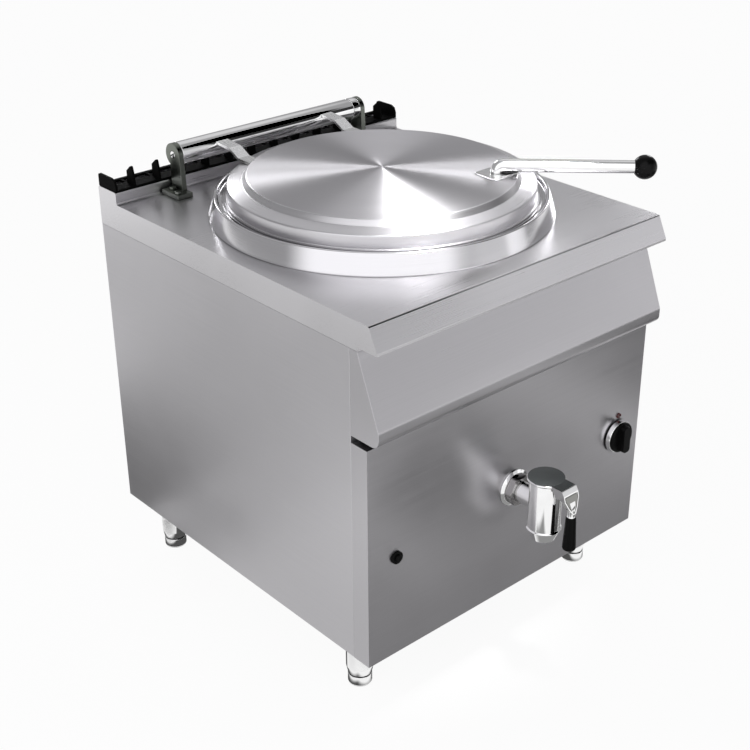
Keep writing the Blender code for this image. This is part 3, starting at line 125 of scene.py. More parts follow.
def prism(outline, axis, low, high, sharp=30):
    """An outline extruded along an axis; on X it is (y, z), on Y (x, z), on Z (x, y)."""
    across, up, along = PLANES[axis]
    shape = bmesh.new()
    corners = [shape.verts.new(across * u + up * v + along * low) for u, v in outline]
    face = shape.faces.new(corners)
    grown = bmesh.ops.extrude_face_region(shape, geom=[face])["geom"]
    moved = [item for item in grown if isinstance(item, bmesh.types.BMVert)]
    bmesh.ops.translate(shape, vec=along * (high - low), verts=moved)
    return finished(shape, "prism", sharp)


def rectangle(low, high):
    """A rectangle between two corners."""
    return [(low[0], low[1]), (high[0], low[1]), (high[0], high[1]), (low[0], high[1])]


def turned(outline, sides, axis="Z", sharp=30):
    """A (radius, height) outline turned about an axis; it may start and end on the axis."""
    across, _, along = PLANES[axis]
    shape = bmesh.new()
    verts = [shape.verts.new(across * radius + along * height) for radius, height in outline]
    pairs = list(zip(verts, verts[1:]))
    if outline[0][0] or outline[-1][0]:
        pairs.append((verts[-1], verts[0]))
    edges = [shape.edges.new(pair) for pair in pairs]
    bmesh.ops.spin(shape, geom=verts + edges, cent=(0, 0, 0), axis=along, angle=math.tau,
                   steps=sides, use_merge=True)
    bmesh.ops.remove_doubles(shape, verts=shape.verts, dist=0.000001)
    return finished(shape, "turned", sharp)


def swept(points, radius, resolution):
    """A round bar along a path of points."""
    curve = bpy.data.curves.new("path", "CURVE")
    curve.dimensions = "3D"
    curve.bevel_depth = radius
    curve.bevel_resolution = resolution
    curve.use_fill_caps = True
    spline = curve.splines.new("POLY")
    spline.points.add(len(points) - 1)
    for place, point in zip(spline.points, points):
        place.co = (*point, 1)
    holder = bpy.data.objects.new("path", curve)
    mesh = bpy.data.meshes.new_from_object(holder)
    bpy.data.objects.remove(holder)
    shape = bmesh.new()
    shape.from_mesh(mesh)
    bmesh.ops.remove_doubles(shape, verts=shape.verts, dist=0.000001)
    return finished(shape, "swept")


def merged(mesh, tool, operation="UNION", place=(0, 0, 0), sharp=30):
    """One mesh joined with or cut by another, with nothing left behind."""
    holder = bpy.data.objects.new("holder", mesh)
    other = bpy.data.objects.new("tool", tool)
    other.location = place
    for item in (holder, other):
        bpy.context.scene.collection.objects.link(item)
    change = holder.modifiers.new("change", "BOOLEAN")
    change.operation = operation
    change.solver = "EXACT"
    change.object = other
    bpy.context.view_layer.update()
    made = bpy.data.meshes.new_from_object(holder.evaluated_get(bpy.context.evaluated_depsgraph_get()))
    for item in (holder, other):
        bpy.data.objects.remove(item)
    shape = bmesh.new()
    shape.from_mesh(made)
    bmesh.ops.remove_doubles(shape, verts=shape.verts, dist=0.000001)
    return finished(shape, "merged", sharp)


def soften(obj, width, segments=3, angle=30):
    """Rounded edges on a piece, as a folded or machined edge has."""
    bevel = obj.modifiers.new("edges", "BEVEL")
    bevel.width = width
    bevel.segments = segments
    bevel.limit_method = "ANGLE"
    bevel.angle_limit = math.radians(angle)
    bevel.harden_normals = True
    bevel.use_clamp_overlap = True


def piece(name, mesh, finish, body, replaced=(), place=(0, 0, 0), turn=0.0, edge=0.0):
    """A piece of the visible kettle, riding on its body in place of the solids it stands for."""
    obj = bpy.data.objects.new(name, mesh)
    mesh.name = name
    mesh.materials.clear()
    mesh.materials.append(finish)
    obj.location = place
    obj.rotation_euler.z = turn
    bpy.context.scene.collection.objects.link(obj)
    if edge:
        soften(obj, edge)
    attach(obj, body)
    if replaced:
        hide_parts(*replaced)
    return obj


# Materials


def put(tree, kind, values=None, **settings):
    """A shader node with its socket values and its settings."""
    made = tree.nodes.new(kind)
    for key, value in settings.items():
        setattr(made, key, value)
    for key, value in (values or {}).items():
        made.inputs[key].default_value = value
    return made


def base(name, colour, metallic, roughness, **sockets):
    """A material with its shader, and its tree."""
    made = bpy.data.materials.new(name)
    made.use_nodes = True
    tree = made.node_tree
    shader = tree.nodes["Principled BSDF"]
    shader.inputs["Base Color"].default_value = (*colour, 1)
    shader.inputs["Metallic"].default_value = metallic
    shader.inputs["Roughness"].default_value = roughness
    for key, value in sockets.items():
        shader.inputs[key.replace("_", " ")].default_value = value
    made.diffuse_color = (*colour, 1)
    return made, tree, shader


def tone(tree, shader, source, colour, low, high, crevice_shade=0.0):
    """The colour varied between two shares of itself by a texture, with painted shade that darkens it in crevices
    where asked.
    """
    ramp = put(tree, "ShaderNodeMix", data_type="RGBA")
    ramp.inputs["A"].default_value = (*[c * low for c in colour], 1)
    ramp.inputs["B"].default_value = (*[min(c * high, 1) for c in colour], 1)
    tree.links.new(source, ramp.inputs["Factor"])
    made = ramp.outputs["Result"]
    # Painted shade: ambient occlusion darkens the colour in crevices, seams and gaps, where shade falls.
    if crevice_shade:
        occlusion_shade = put(tree, "ShaderNodeAmbientOcclusion", {"Distance": crevice_shade}, samples=8)
        level = put(tree, "ShaderNodeMapRange", {"From Min": 0.15, "From Max": 0.75, "To Min": 0.12, "To Max": 1.0})
        tree.links.new(occlusion_shade.outputs["AO"], level.inputs["Value"])
        shaded_colour = put(tree, "ShaderNodeVectorMath", operation="SCALE")
        tree.links.new(made, shaded_colour.inputs[0])
        tree.links.new(level.outputs["Result"], shaded_colour.inputs["Scale"])
        made = shaded_colour.outputs["Vector"]
    tree.links.new(made, shader.inputs["Base Color"])


def span(tree, source, low, high, start=0.3, end=0.7):
    """A texture's middle range mapped on two values."""
    made = put(tree, "ShaderNodeMapRange", {"From Min": start, "From Max": end, "To Min": low, "To Max": high})
    tree.links.new(source, made.inputs["Value"])
    return made.outputs["Result"]


def summed(tree, first, second, operation="ADD"):
    """Two values added or multiplied."""
    made = put(tree, "ShaderNodeMath", operation=operation)
    for index, source in enumerate((first, second)):
        if isinstance(source, (int, float)):
            made.inputs[index].default_value = source
        else:
            tree.links.new(source, made.inputs[index])
    return made.outputs["Value"]


def bumped(tree, shader, source, distance, strength):
    """A fine relief from a texture."""
    made = put(tree, "ShaderNodeBump", {"Strength": strength, "Distance": distance})
    tree.links.new(source, made.inputs["Height"])
    tree.links.new(made.outputs["Normal"], shader.inputs["Normal"])


def line_coordinates(tree, scale):
    """Object coordinates stretched along the grain."""
    where = put(tree, "ShaderNodeTexCoord")
    mapping = put(tree, "ShaderNodeMapping", {"Scale": scale})
    tree.links.new(where.outputs["Object"], mapping.inputs["Vector"])
    return mapping.outputs["Vector"], where.outputs["Object"]


def ring_coordinates(tree, centre, axis, fine):
    """Coordinates for grain that runs in rings about an axis through a centre."""
    where = put(tree, "ShaderNodeTexCoord")
    shifted = put(tree, "ShaderNodeVectorMath", operation="SUBTRACT")
    shifted.inputs[1].default_value = centre
    tree.links.new(where.outputs["Object"], shifted.inputs[0])
    flat = put(tree, "ShaderNodeVectorMath", operation="MULTIPLY")
    flat.inputs[1].default_value = [0 if letter == axis else 1 for letter in "XYZ"]
    tree.links.new(shifted.outputs["Vector"], flat.inputs[0])
    radius = put(tree, "ShaderNodeVectorMath", operation="LENGTH")
    tree.links.new(flat.outputs["Vector"], radius.inputs[0])
    way = put(tree, "ShaderNodeVectorMath", operation="NORMALIZE")
    tree.links.new(flat.outputs["Vector"], way.inputs[0])
    along = put(tree, "ShaderNodeSeparateXYZ")
    tree.links.new(shifted.outputs["Vector"], along.inputs["Vector"])
    depth = summed(tree, radius.outputs["Value"], along.outputs[axis])
    lines = put(tree, "ShaderNodeCombineXYZ")
    tree.links.new(summed(tree, depth, fine, "MULTIPLY"), lines.inputs[axis])
    both = put(tree, "ShaderNodeVectorMath", operation="ADD")
    tree.links.new(way.outputs["Vector"], both.inputs[0])
    tree.links.new(lines.outputs["Vector"], both.inputs[1])
    return both.outputs["Vector"], where.outputs["Object"]


def brushed(name, colour, roughness, anisotropy, tangent, scale=None, ring=None, relief=0.03):
    """Brushed or turned stainless steel, with its grain, smudges, slight tone and painted shade in its crevices."""
    made, tree, shader = base(name, colour, 1.0, roughness, Anisotropic=anisotropy)
    if ring:
        lines, where = ring_coordinates(tree, *ring)
        way = put(tree, "ShaderNodeTangent", direction_type="RADIAL", axis=ring[1])
        tree.links.new(way.outputs["Tangent"], shader.inputs["Tangent"])
        shader.inputs["Anisotropic Rotation"].default_value = 0.25
    else:
        lines, where = line_coordinates(tree, scale)
        way = put(tree, "ShaderNodeCombineXYZ", {"X": tangent[0], "Y": tangent[1], "Z": tangent[2]})
        tree.links.new(way.outputs["Vector"], shader.inputs["Tangent"])
    grain = put(tree, "ShaderNodeTexNoise", {"Scale": 1.0, "Detail": 3.0, "Roughness": 0.6})
    tree.links.new(lines, grain.inputs["Vector"])
    cloud = put(tree, "ShaderNodeTexNoise", {"Scale": 4.0, "Detail": 3.0, "Roughness": 0.5, "Distortion": 0.4})
    tree.links.new(where, cloud.inputs["Vector"])
    fine = span(tree, grain.outputs["Fac"], -0.035, 0.035)
    broad = span(tree, cloud.outputs["Fac"], roughness - 0.02, roughness + 0.03)
    tree.links.new(summed(tree, fine, broad), shader.inputs["Roughness"])
    mixed = summed(tree, summed(tree, grain.outputs["Fac"], 0.6, "MULTIPLY"),
                   summed(tree, cloud.outputs["Fac"], 0.4, "MULTIPLY"))
    # The tone carries painted shade in crevices within 20 mm.
    tone(tree, shader, span(tree, mixed, 0, 1), colour, 0.95, 1.04, crevice_shade=0.020)
    bumped(tree, shader, grain.outputs["Fac"], 0.0002, relief)
    return made


def polished(name, colour, roughness):
    """Chrome plate or polished steel with a faint haze, faint waves and painted shade in its crevices."""
    made, tree, shader = base(name, colour, 1.0, roughness)
    where = put(tree, "ShaderNodeTexCoord")
    haze = put(tree, "ShaderNodeTexNoise", {"Scale": 35.0, "Detail": 4.0})
    tree.links.new(where.outputs["Object"], haze.inputs["Vector"])
    tree.links.new(span(tree, haze.outputs["Fac"], roughness * 0.6, roughness * 1.5), shader.inputs["Roughness"])
    # The tone carries painted shade in crevices within 12 mm.
    tone(tree, shader, span(tree, haze.outputs["Fac"], 0, 1), colour, 0.97, 1.02, crevice_shade=0.012)
    waves = put(tree, "ShaderNodeTexNoise", {"Scale": 12.0, "Detail": 1.0})
    tree.links.new(where.outputs["Object"], waves.inputs["Vector"])
    bumped(tree, shader, waves.outputs["Fac"], 0.0004, 0.02)
    return made


def coated(name, colour, roughness, scale, relief, **sockets):
    """Enamel, cast iron or moulded plastic with its own fine skin."""
    made, tree, shader = base(name, colour, 0.0, roughness, **sockets)
    where = put(tree, "ShaderNodeTexCoord")
    skin = put(tree, "ShaderNodeTexNoise", {"Scale": scale, "Detail": 4.0, "Roughness": 0.6})
    tree.links.new(where.outputs["Object"], skin.inputs["Vector"])
    cloud = put(tree, "ShaderNodeTexNoise", {"Scale": 14.0, "Detail": 3.0})
    tree.links.new(where.outputs["Object"], cloud.inputs["Vector"])
    tree.links.new(span(tree, cloud.outputs["Fac"], roughness * 0.8, roughness * 1.25), shader.inputs["Roughness"])
    tone(tree, shader, span(tree, cloud.outputs["Fac"], 0, 1), colour, 0.8, 1.35)
    bumped(tree, shader, skin.outputs["Fac"], 0.0003, relief)
    return made


STEEL = (0.62, 0.61, 0.63)
# Painted light: the worktop takes a lighter copy of the cabinet steel, standing in for the light that falls on the
# top.
LIT_TOP_STEEL = (0.75, 0.74, 0.76)
worktop_steel = brushed("worktop_steel", LIT_TOP_STEEL, 0.30, 0.55, (0, 1, 0), scale=(3, 650, 650))
# Painted shade: the front panel and fascia take a slightly darker copy of the side steel, standing in for the shade on
# the front.
shaded_front_steel = brushed("shaded_front_steel", (0.58, 0.57, 0.59), 0.32, 0.55, (0, 0, 1), scale=(3, 650, 650))
side_steel = brushed("side_steel", STEEL, 0.34, 0.5, (0, 0, 1), scale=(650, 3, 650))
lid_steel = brushed("lid_steel", (0.62, 0.61, 0.63), 0.46, 0.95, None, ring=((0, 0, 0), "Z", 900), relief=0.003)
step_steel = brushed("step_steel", (0.68, 0.67, 0.69), 0.30, 0.6, None, ring=((0, 0, 0), "Z", 900), relief=0.006)
ring_steel = brushed("ring_steel", (0.76, 0.75, 0.77), 0.14, 0.5, None, ring=((0, 0, 0), "Z", 900), relief=0.006)
pan_steel = brushed("pan_steel", (0.66, 0.65, 0.67), 0.22, 0.5, None, ring=((0, 0, 0), "Z", 600), relief=0.02)
arm_steel = brushed("arm_steel", (0.88, 0.88, 0.88), 0.24, 0.4, (1, 0, 0), scale=(650, 3, 650))
bracket_steel = brushed("bracket_steel", (0.21, 0.225, 0.20), 0.30, 0.3, (0, 0, 1), scale=(500, 4, 500))
dull_steel = brushed("dull_steel", (0.45, 0.45, 0.46), 0.48, 0.2, (0, 0, 1), scale=(30, 30, 12), relief=0.06)
chrome = polished("chrome", (0.93, 0.93, 0.93), 0.05)
rod_chrome = polished("rod_chrome", (0.93, 0.93, 0.93), 0.09)
nut_steel = polished("nut_steel", (0.40, 0.39, 0.39), 0.22)
cap_steel = brushed("cap_steel", (0.14, 0.15, 0.15), 0.45, 0.0, None, ring=((0, 0, 0), "Z", 700), relief=0.01)
field_steel = brushed("field_steel", (0.42, 0.42, 0.40), 0.40, 0.0, None, ring=((0, 0, 0), "Z", 700), relief=0.01)
enamel = coated("black_enamel", (0.003, 0.003, 0.003), 0.5, 700, 0.12, Specular_IOR_Level=0.02)
plastic = coated("black_plastic", (0.003, 0.003, 0.003), 0.36, 900, 0.04, Specular_IOR_Level=0.08)
ball_plastic = coated("ball_plastic", (0.003, 0.003, 0.003), 0.22, 300, 0.02, Specular_IOR_Level=0.12)
brass = polished("brass", (0.70, 0.52, 0.24), 0.28)
iron = coated("burner_iron", (0.08, 0.08, 0.085), 0.62, 260, 0.5)
lens = coated("red_lens", (0.055, 0.004, 0.004), 0.16, 400, 0.02, Coat_Weight=0.5, Coat_Roughness=0.08)
nylon = coated("white_nylon", (0.80, 0.79, 0.75), 0.42, 600, 0.08)


def dress(name, finish, edge=0.0):
    """A CAD node kept as it is, with its finish and soft edges."""
    obj = nodes[name]
    for place in obj.material_slots:
        place.material = finish
    if edge:
        weld = obj.modifiers.new("weld", "WELD")
        weld.merge_threshold = 0.00001
        flat = obj.modifiers.new("flat", "DECIMATE")
        flat.decimate_type = "DISSOLVE"
        flat.angle_limit = math.radians(1)
        soften(obj, edge)
        normals = obj.modifiers.new("normals", "WEIGHTED_NORMAL")
        normals.keep_sharp = True


dress("worktop", worktop_steel, 0.0010)
dress("front_panel", shaded_front_steel, 0.0010)
dress("left_side_panel", side_steel, 0.0008)
dress("right_side_panel", side_steel, 0.0008)
for name in ("back_panel", "base_tray", "steam_jacket", "drain_pipe", "flue_duct", "burner_support",
             "hinge_spring", "spring_anchor", "valve_spindle"):
    dress(name, dull_steel)
dress("ring_burner", iron)
for name in ("tap_plug", "gas_valve", "gas_pipe"):
    dress(name, brass)
dress("hinge_bush", nylon)

# Vessel, well ring and lid
RIM_TOP = TOP + 0.0365
SEAT = RIM_TOP + GAP


def well():
    """The vessel, the pressed ring round it and its drain hole."""
    path = rounded([(0, 0.3655), (0.300, 0.3655), (0.300, RIM_TOP), (0.331, RIM_TOP)],
                   [0, 0.030, 0.004, 0], closed=False)
    mesh = turned(strip(path, -SHEET), DISC)
    hole = prism([(0.0228 * math.cos(a * math.tau / SMALL), 0.0228 * math.sin(a * math.tau / SMALL))
                  for a in range(SMALL)], "Y", -0.36, -0.25)
    mesh = merged(mesh, hole, "DIFFERENCE", (0, 0, DRAIN.z))
    piece("pan", mesh, pan_steel, "cabinet", ["vessel"], WELL)
    gutter = RIM_TOP - SHEET - GAP
    path = rounded([(0.361, TOP + GAP), (0.361, TOP + GAP + 0.002), (0.3485, TOP + 0.044), (0.3425, TOP + 0.044),
                    (0.339, gutter), (0.304, gutter)], [0, 0.0008, 0.0025, 0.0025, 0.0025, 0], closed=False)
    piece("well_collar", turned(strip(path, SHEET), DISC), ring_steel, "cabinet", ["well_ring"], WELL)


def lid():
    """The coned lid with its pressed step and its hem."""
    hem = SEAT + SHEET
    path = rounded([(0, TOP + 0.093), (0.280, TOP + 0.0844), (0.289, TOP + 0.0725), (0.321, TOP + 0.0672),
                    (0.321, hem), (0.326, hem)], [0, 0.004, 0.004, 0.004, 0.002, 0], closed=False)
    dome = piece("lid_dome", turned(strip(path, -SHEET), DISC), lid_steel, "lid", ["lid_shell"], WELL)
    dome.data.materials.append(step_steel)
    for face in dome.data.polygons:
        face.material_index = int(face.center.xy.length > 0.2785)


well()
lid()


def under_lid():
    """The room under the lid, up to the middle of its sheet, in the lid's own place."""
    half = SHEET / 2
    return turned([(0, TOP + 0.093 - half), (0.2795, TOP + 0.0843 - half), (0.288, TOP + 0.0724 - half),
                   (0.320, TOP + 0.0671 - half), (0.320, TOP), (0, TOP)], DISC)


def arms():
    """The two bent flat bars from the hinge tube to the lid."""
    back = HINGE.y
    land = WELL.y + math.sqrt(0.3154 ** 2 - 0.147 ** 2)
    path = rounded([(back - 0.018, TOP + 0.0970), (back - 0.070, TOP + 0.0935), (land, TOP + 0.0784),
                    (land - 0.046, TOP + 0.0775)], [0, 0.010, 0.010, 0], closed=False)
    for side, name in ((-1, "left"), (1, "right")):
        low, high = side * 0.147 - 0.015, side * 0.147 + 0.015
        mesh = prism(strip(path, 0.006), "X", low, high, sharp=0)
        mesh = merged(mesh, under_lid(), "DIFFERENCE", WELL, sharp=0)
        piece(f"arm_{name}", mesh, arm_steel, "lid", [f"lid_arm_{name}"], edge=0.0012)


def handle():
    """The plate on the lid, the bent bar and the ball."""
    foot = WELL + Vector((0.561, -0.632, 0)) * 0.280
    outline = rounded(rectangle((-0.036, -0.0305), (0.036, 0.0305)), 0.008)
    top = TOP + 0.104 - 0.0138 - 0.001 - GAP
    mesh = prism(outline, "Z", TOP + 0.0840, top, sharp=0)
    mesh = merged(mesh, under_lid(), "DIFFERENCE", WELL - foot, sharp=0)
    piece("handle_foot", mesh, arm_steel, "lid", ["handle_plate"], foot, edge=0.0008)
    ball_reach = 0.299
    reach = ball_reach - math.sqrt(0.025 ** 2 - 0.0135 ** 2) - GAP
    path = rounded([(0, 0, -0.0148), (0, 0, 0), (reach, 0, 0)], 0.0138, steps=14, closed=False)
    place = foot + Vector((0, 0, TOP + 0.104))
    turn = math.radians(-45)
    piece("handle_bar", swept(path, 0.0135, 14), rod_chrome, "lid", ["handle_rod"], place, turn)
    flat = math.asin(0.0135 / 0.025)
    angles = [(math.pi - flat) * step / 40 for step in range(41)]
    outline = [(0.025 * math.sin(a), 0.025 * math.cos(a)) for a in angles]
    outline.append((0, outline[-1][1]))
    way = Vector((math.cos(turn), math.sin(turn), 0))
    piece("handle_knob", turned(outline, SMALL, "X"), ball_plastic, "lid", ["handle_ball"],
          place + way * ball_reach, turn)


def hinge():
    """Brackets, slotted pins, bolts, tube and collar."""
    end = 0.250 - GAP
    seam = end - 0.020
    edge = 0.0008
    tube = rounded(rectangle((0.023, -end), (0.025, seam - GAP)), [0, edge, edge, 0], steps=3)
    piece("hinge_roller", turned(tube, ROUND, "X"), chrome, "lid", ["hinge_tube"], HINGE)
    collar = rounded([(0.0083, seam - 0.024), (0.0227, seam - 0.024), (0.0227, seam), (0.025, seam), (0.025, end),
                      (0.0083, end)], [0, 0, 0, edge, edge, 0], steps=3)
    piece("hinge_end", turned(collar, ROUND, "X"), chrome, "lid", ["hinge_collar"], HINGE)

    base_top = TOP + GAP + 0.010
    back_angle = math.asin(0.011 / 0.025)
    first, last = back_angle - math.pi / 2, math.pi
    angles = [first + (last - first) * step / 48 for step in range(49)]
    upright = [(HINGE.y + 0.025 * math.cos(a), HINGE.z + 0.025 * math.sin(a)) for a in angles]
    upright += [(HINGE.y - 0.029, base_top), (HINGE.y - 0.050, base_top), (HINGE.y - 0.050, TOP + GAP),
                (HINGE.y + 0.011, TOP + GAP)]
    for side, name in ((-1, "left"), (1, "right")):
        ends = sorted((side * 0.250, side * 0.262))
        mesh = prism(upright, "X", *ends)
        ends = sorted((side * 0.260, side * 0.288))
        foot = prism(rectangle((ends[0], HINGE.y - 0.050), (ends[1], HINGE.y + 0.011)), "Z", TOP + GAP, base_top)
        mesh = merged(mesh, foot)
        eye = prism([(HINGE.y + 0.0083 * math.cos(a * math.tau / 48), HINGE.z + 0.0083 * math.sin(a * math.tau / 48))
                     for a in range(48)], "X", side * 0.250 - 0.02, side * 0.250 + 0.02)
        mesh = merged(mesh, eye, "DIFFERENCE", sharp=0)
        piece(f"bracket_{name}", mesh, bracket_steel, "cabinet", [f"hinge_bracket_{name}"],
              edge=0.0009)
        outer = side * 0.262
        pin = turned(rounded([(0, outer), (0.008, outer), (0.008, outer - side * 0.046), (0, outer - side * 0.046)],
                             [0, 0.0007, 0, 0], steps=3, closed=False), 48, "X")
        slot_ends = sorted((outer - side * 0.004, outer + side * 0.01))
        cut = prism(rectangle((-0.0015, -0.02), (0.0015, 0.02)), "X", *slot_ends)
        cut.transform(Matrix.Rotation(math.radians(62), 4, "X"))
        pin = merged(pin, cut, "DIFFERENCE")
        piece(f"pin_{name}", pin, chrome, "cabinet", [f"hinge_pin_{name}"], HINGE)
        for number, (out, ahead) in enumerate(((0.029, 0.037), (0.021, 0.005)), 1):
            head = prism([(0.0075 * math.cos(math.pi / 3 * a), 0.0075 * math.sin(math.pi / 3 * a)) for a in range(6)],
                         "Z", 0, 0.0055, sharp=0)
            spot = (side * (0.250 + out), HINGE.y - ahead, base_top + GAP)
            node = f"bracket_bolt_{name}_{number}"
            piece(f"bolt_{name}_{number}", head, bracket_steel, "cabinet", [node], spot, edge=0.0007)


arms()
handle()
hinge()


def tap():
    """Flange, nut and body."""
    wall = FRONT + 0.007 - GAP
    face = wall - 0.006
    outline = rounded([(0.0228, wall), (0.041, wall), (0.041, wall - 0.0025), (0.034, face), (0.0228, face)],
                      [0, 0, 0.0012, 0.002, 0], steps=4)
    piece("tap_rose", turned(outline, ROUND, "Y"), chrome, "cabinet", ["tap_flange"], (0, 0, DRAIN.z))
    nut_back = face - GAP
    corner = 0.030 / math.cos(math.pi / 6)
    nut = prism([(corner * math.cos(math.pi / 3 * a), corner * math.sin(math.pi / 3 * a)) for a in range(6)],
                "Y", nut_back - 0.016, nut_back)
    chamfer = turned([(0, nut_back + 0.001), (0.0335, nut_back + 0.001), (0.0335, nut_back - 0.0135),
                      (0.0305, nut_back - 0.0165), (0, nut_back - 0.0165)], ROUND, "Y")
    nut = merged(nut, chamfer, "INTERSECT")
    bore = prism([(0.0228 * math.cos(a * math.tau / SMALL), 0.0228 * math.sin(a * math.tau / SMALL))
                  for a in range(SMALL)], "Y", nut_back - 0.03, nut_back + 0.01)
    nut = merged(nut, bore, "DIFFERENCE", sharp=0)
    piece("tap_hexagon", nut, nut_steel, "cabinet", ["tap_nut"], (0, 0, DRAIN.z), edge=0.0006)

    z = DRAIN.z
    outline = rounded([(0, z + 0.058), (0.034, z + 0.058), (0.034, z - 0.051), (0.0365, z - 0.053),
                       (0.0365, z - 0.055), (0.034, z - 0.057), (0.025, z - 0.079), (0.016, z - 0.079),
                       (0.016, z - 0.026), (0, z - 0.026)],
                      [0, 0.0015, 0.001, 0.0012, 0.0012, 0.001, 0.0015, 0.001, 0, 0], steps=4, closed=False)
    body = turned(outline, ROUND)
    neck = [(0.0225 * math.cos(a * math.tau / SMALL), 0.0225 * math.sin(a * math.tau / SMALL)) for a in range(SMALL)]
    neck = prism(neck, "Y", 0, 0.0795 + 0.007 - 0.008 - GAP)
    body = merged(body, neck, "UNION", (0, 0, z))
    piece("tap_barrel", body, chrome, "cabinet", ["tap_body"], TAP)



SHIELD = ((0.021, 0.0125), (0.021, 0.0245), (0.0185, 0.029), (0.013, 0.042), (0.0045, 0.0555))


def shield_outline(inset, above, below):
    """The shield seen square on as (across, -down), set in from its sides and its ends."""
    slope = math.hypot(0.0125, 0.043) / 0.043
    half = [(width - inset, -(drop - 0.0125) * slope) for width, drop in SHIELD]
    half[0] = (half[0][0], half[0][1] - above)
    half[-1] = (half[-1][0], half[-1][1] + below)
    outline = half + [(-width, down) for width, down in reversed(half)]
    return rounded(outline, [0.0015, 0, 0.006, 0.02, 0.002, 0.002, 0.02, 0.006, 0, 0.0015], steps=5)


def lever():
    """Cap, arm, shield with its raised rim, ferrule, and the grip that hangs from it."""
    low = DRAIN.z + 0.058 + GAP
    top = low + 0.009
    crown = top - 0.0022
    cheek = top - 0.0245
    tip = top - 0.0555
    bottom = top - 0.065
    outline = rounded([(0, crown - 0.0008), (0.0392, crown - 0.0008), (0.0392, low + 0.002), (0.0375, low), (0, low)],
                      [0, 0.0018, 0.0006, 0.0006, 0], steps=4, closed=False)
    side = rounded([(0.010, crown - 0.0008), (0.010, low), (-0.036, low), (-0.045, cheek), (-0.0595, cheek),
                    (-0.069, tip), (-0.078, tip), (-0.0655, top - 0.0125), (-0.0595, crown - 0.0008)],
                   [0, 0, 0.004, 0.004, 0.003, 0, 0, 0.002, 0.0012], steps=5)
    left = [(-0.021, top + 0.01)] + [(-width, top - drop) for width, drop in SHIELD[1:]] + [(-0.0045, tip - 0.01)]
    front = left + [(-across, height) for across, height in reversed(left)]
    front = rounded(front, [0, 0, 0.006, 0.02, 0.003, 0, 0, 0.003, 0.02, 0.006, 0, 0], steps=6)
    arm = merged(prism(side, "X", -0.021, 0.021), prism(front, "Y", -0.1, 0.02), "INTERSECT")
    ferrule = turned(rounded([(0, cheek), (0.0078, cheek), (0.0078, bottom + 0.003), (0.0088, bottom + 0.0015),
                              (0.0088, bottom), (0, bottom)], [0, 0, 0.001, 0.001, 0.0008, 0], steps=3, closed=False),
                     48)
    ferrule.transform(Matrix.Translation((0, -0.0695, 0)))
    behind = [(0, top - 0.0125), (-0.0655, top - 0.0125), (-0.0785, tip), (-0.0785, bottom - 0.01), (0, bottom - 0.01)]
    ferrule = merged(ferrule, prism(behind, "X", -0.02, 0.02), "INTERSECT", sharp=0)
    head = merged(turned(outline, ROUND), arm)
    turn = Matrix.Translation((0, -0.0655, top - 0.0125)) @ Matrix.Rotation(-math.atan2(0.0125, 0.043), 4, "X")
    pocket = prism(shield_outline(0.0026, 0.0028, 0.002), "Y", -0.01, 0.0012)
    pocket.transform(turn)
    head = merged(head, pocket, "DIFFERENCE")
    head = merged(head, ferrule, sharp=0)
    piece("tap_head", head, chrome, "tap_handle", ["tap_lever"], TAP, edge=0.0006)
    plate = turned(rounded([(0, top), (0.016, top - 0.0005), (0.0376, crown), (0.0376, crown - 0.0016),
                            (0, crown - 0.0016)], [0, 0.02, 0.0006, 0, 0], steps=5, closed=False), ROUND)
    neck = rounded(rectangle((-0.0195, -0.0582), (0.0195, 0)), [0.001, 0.001, 0, 0], steps=3)
    plate = merged(plate, prism(neck, "Z", crown - 0.0016, crown - 0.0001), sharp=0)
    piece("tap_head_plate", plate, cap_steel, "tap_handle", (), TAP, edge=0.0003)
    field = prism(shield_outline(0.0042, 0.0046, 0.0036), "Y", -0.0002, 0.0013, sharp=0)
    field.transform(turn)
    piece("tap_head_field", field, field_steel, "tap_handle", (), TAP, edge=0.0003)

    grip_top = bottom - GAP
    foot = grip_top - 0.077
    outline = rounded([(0, grip_top), (0.0105, grip_top), (0.014, foot + 0.006), (0.014, foot), (0, foot)],
                      [0, 0.0012, 0.02, 0.0055, 0], steps=8, closed=False)
    piece("tap_handgrip", turned(outline, SMALL), plastic, "tap_handle", ["tap_grip"],
          (0, FRONT - 0.149, 0))


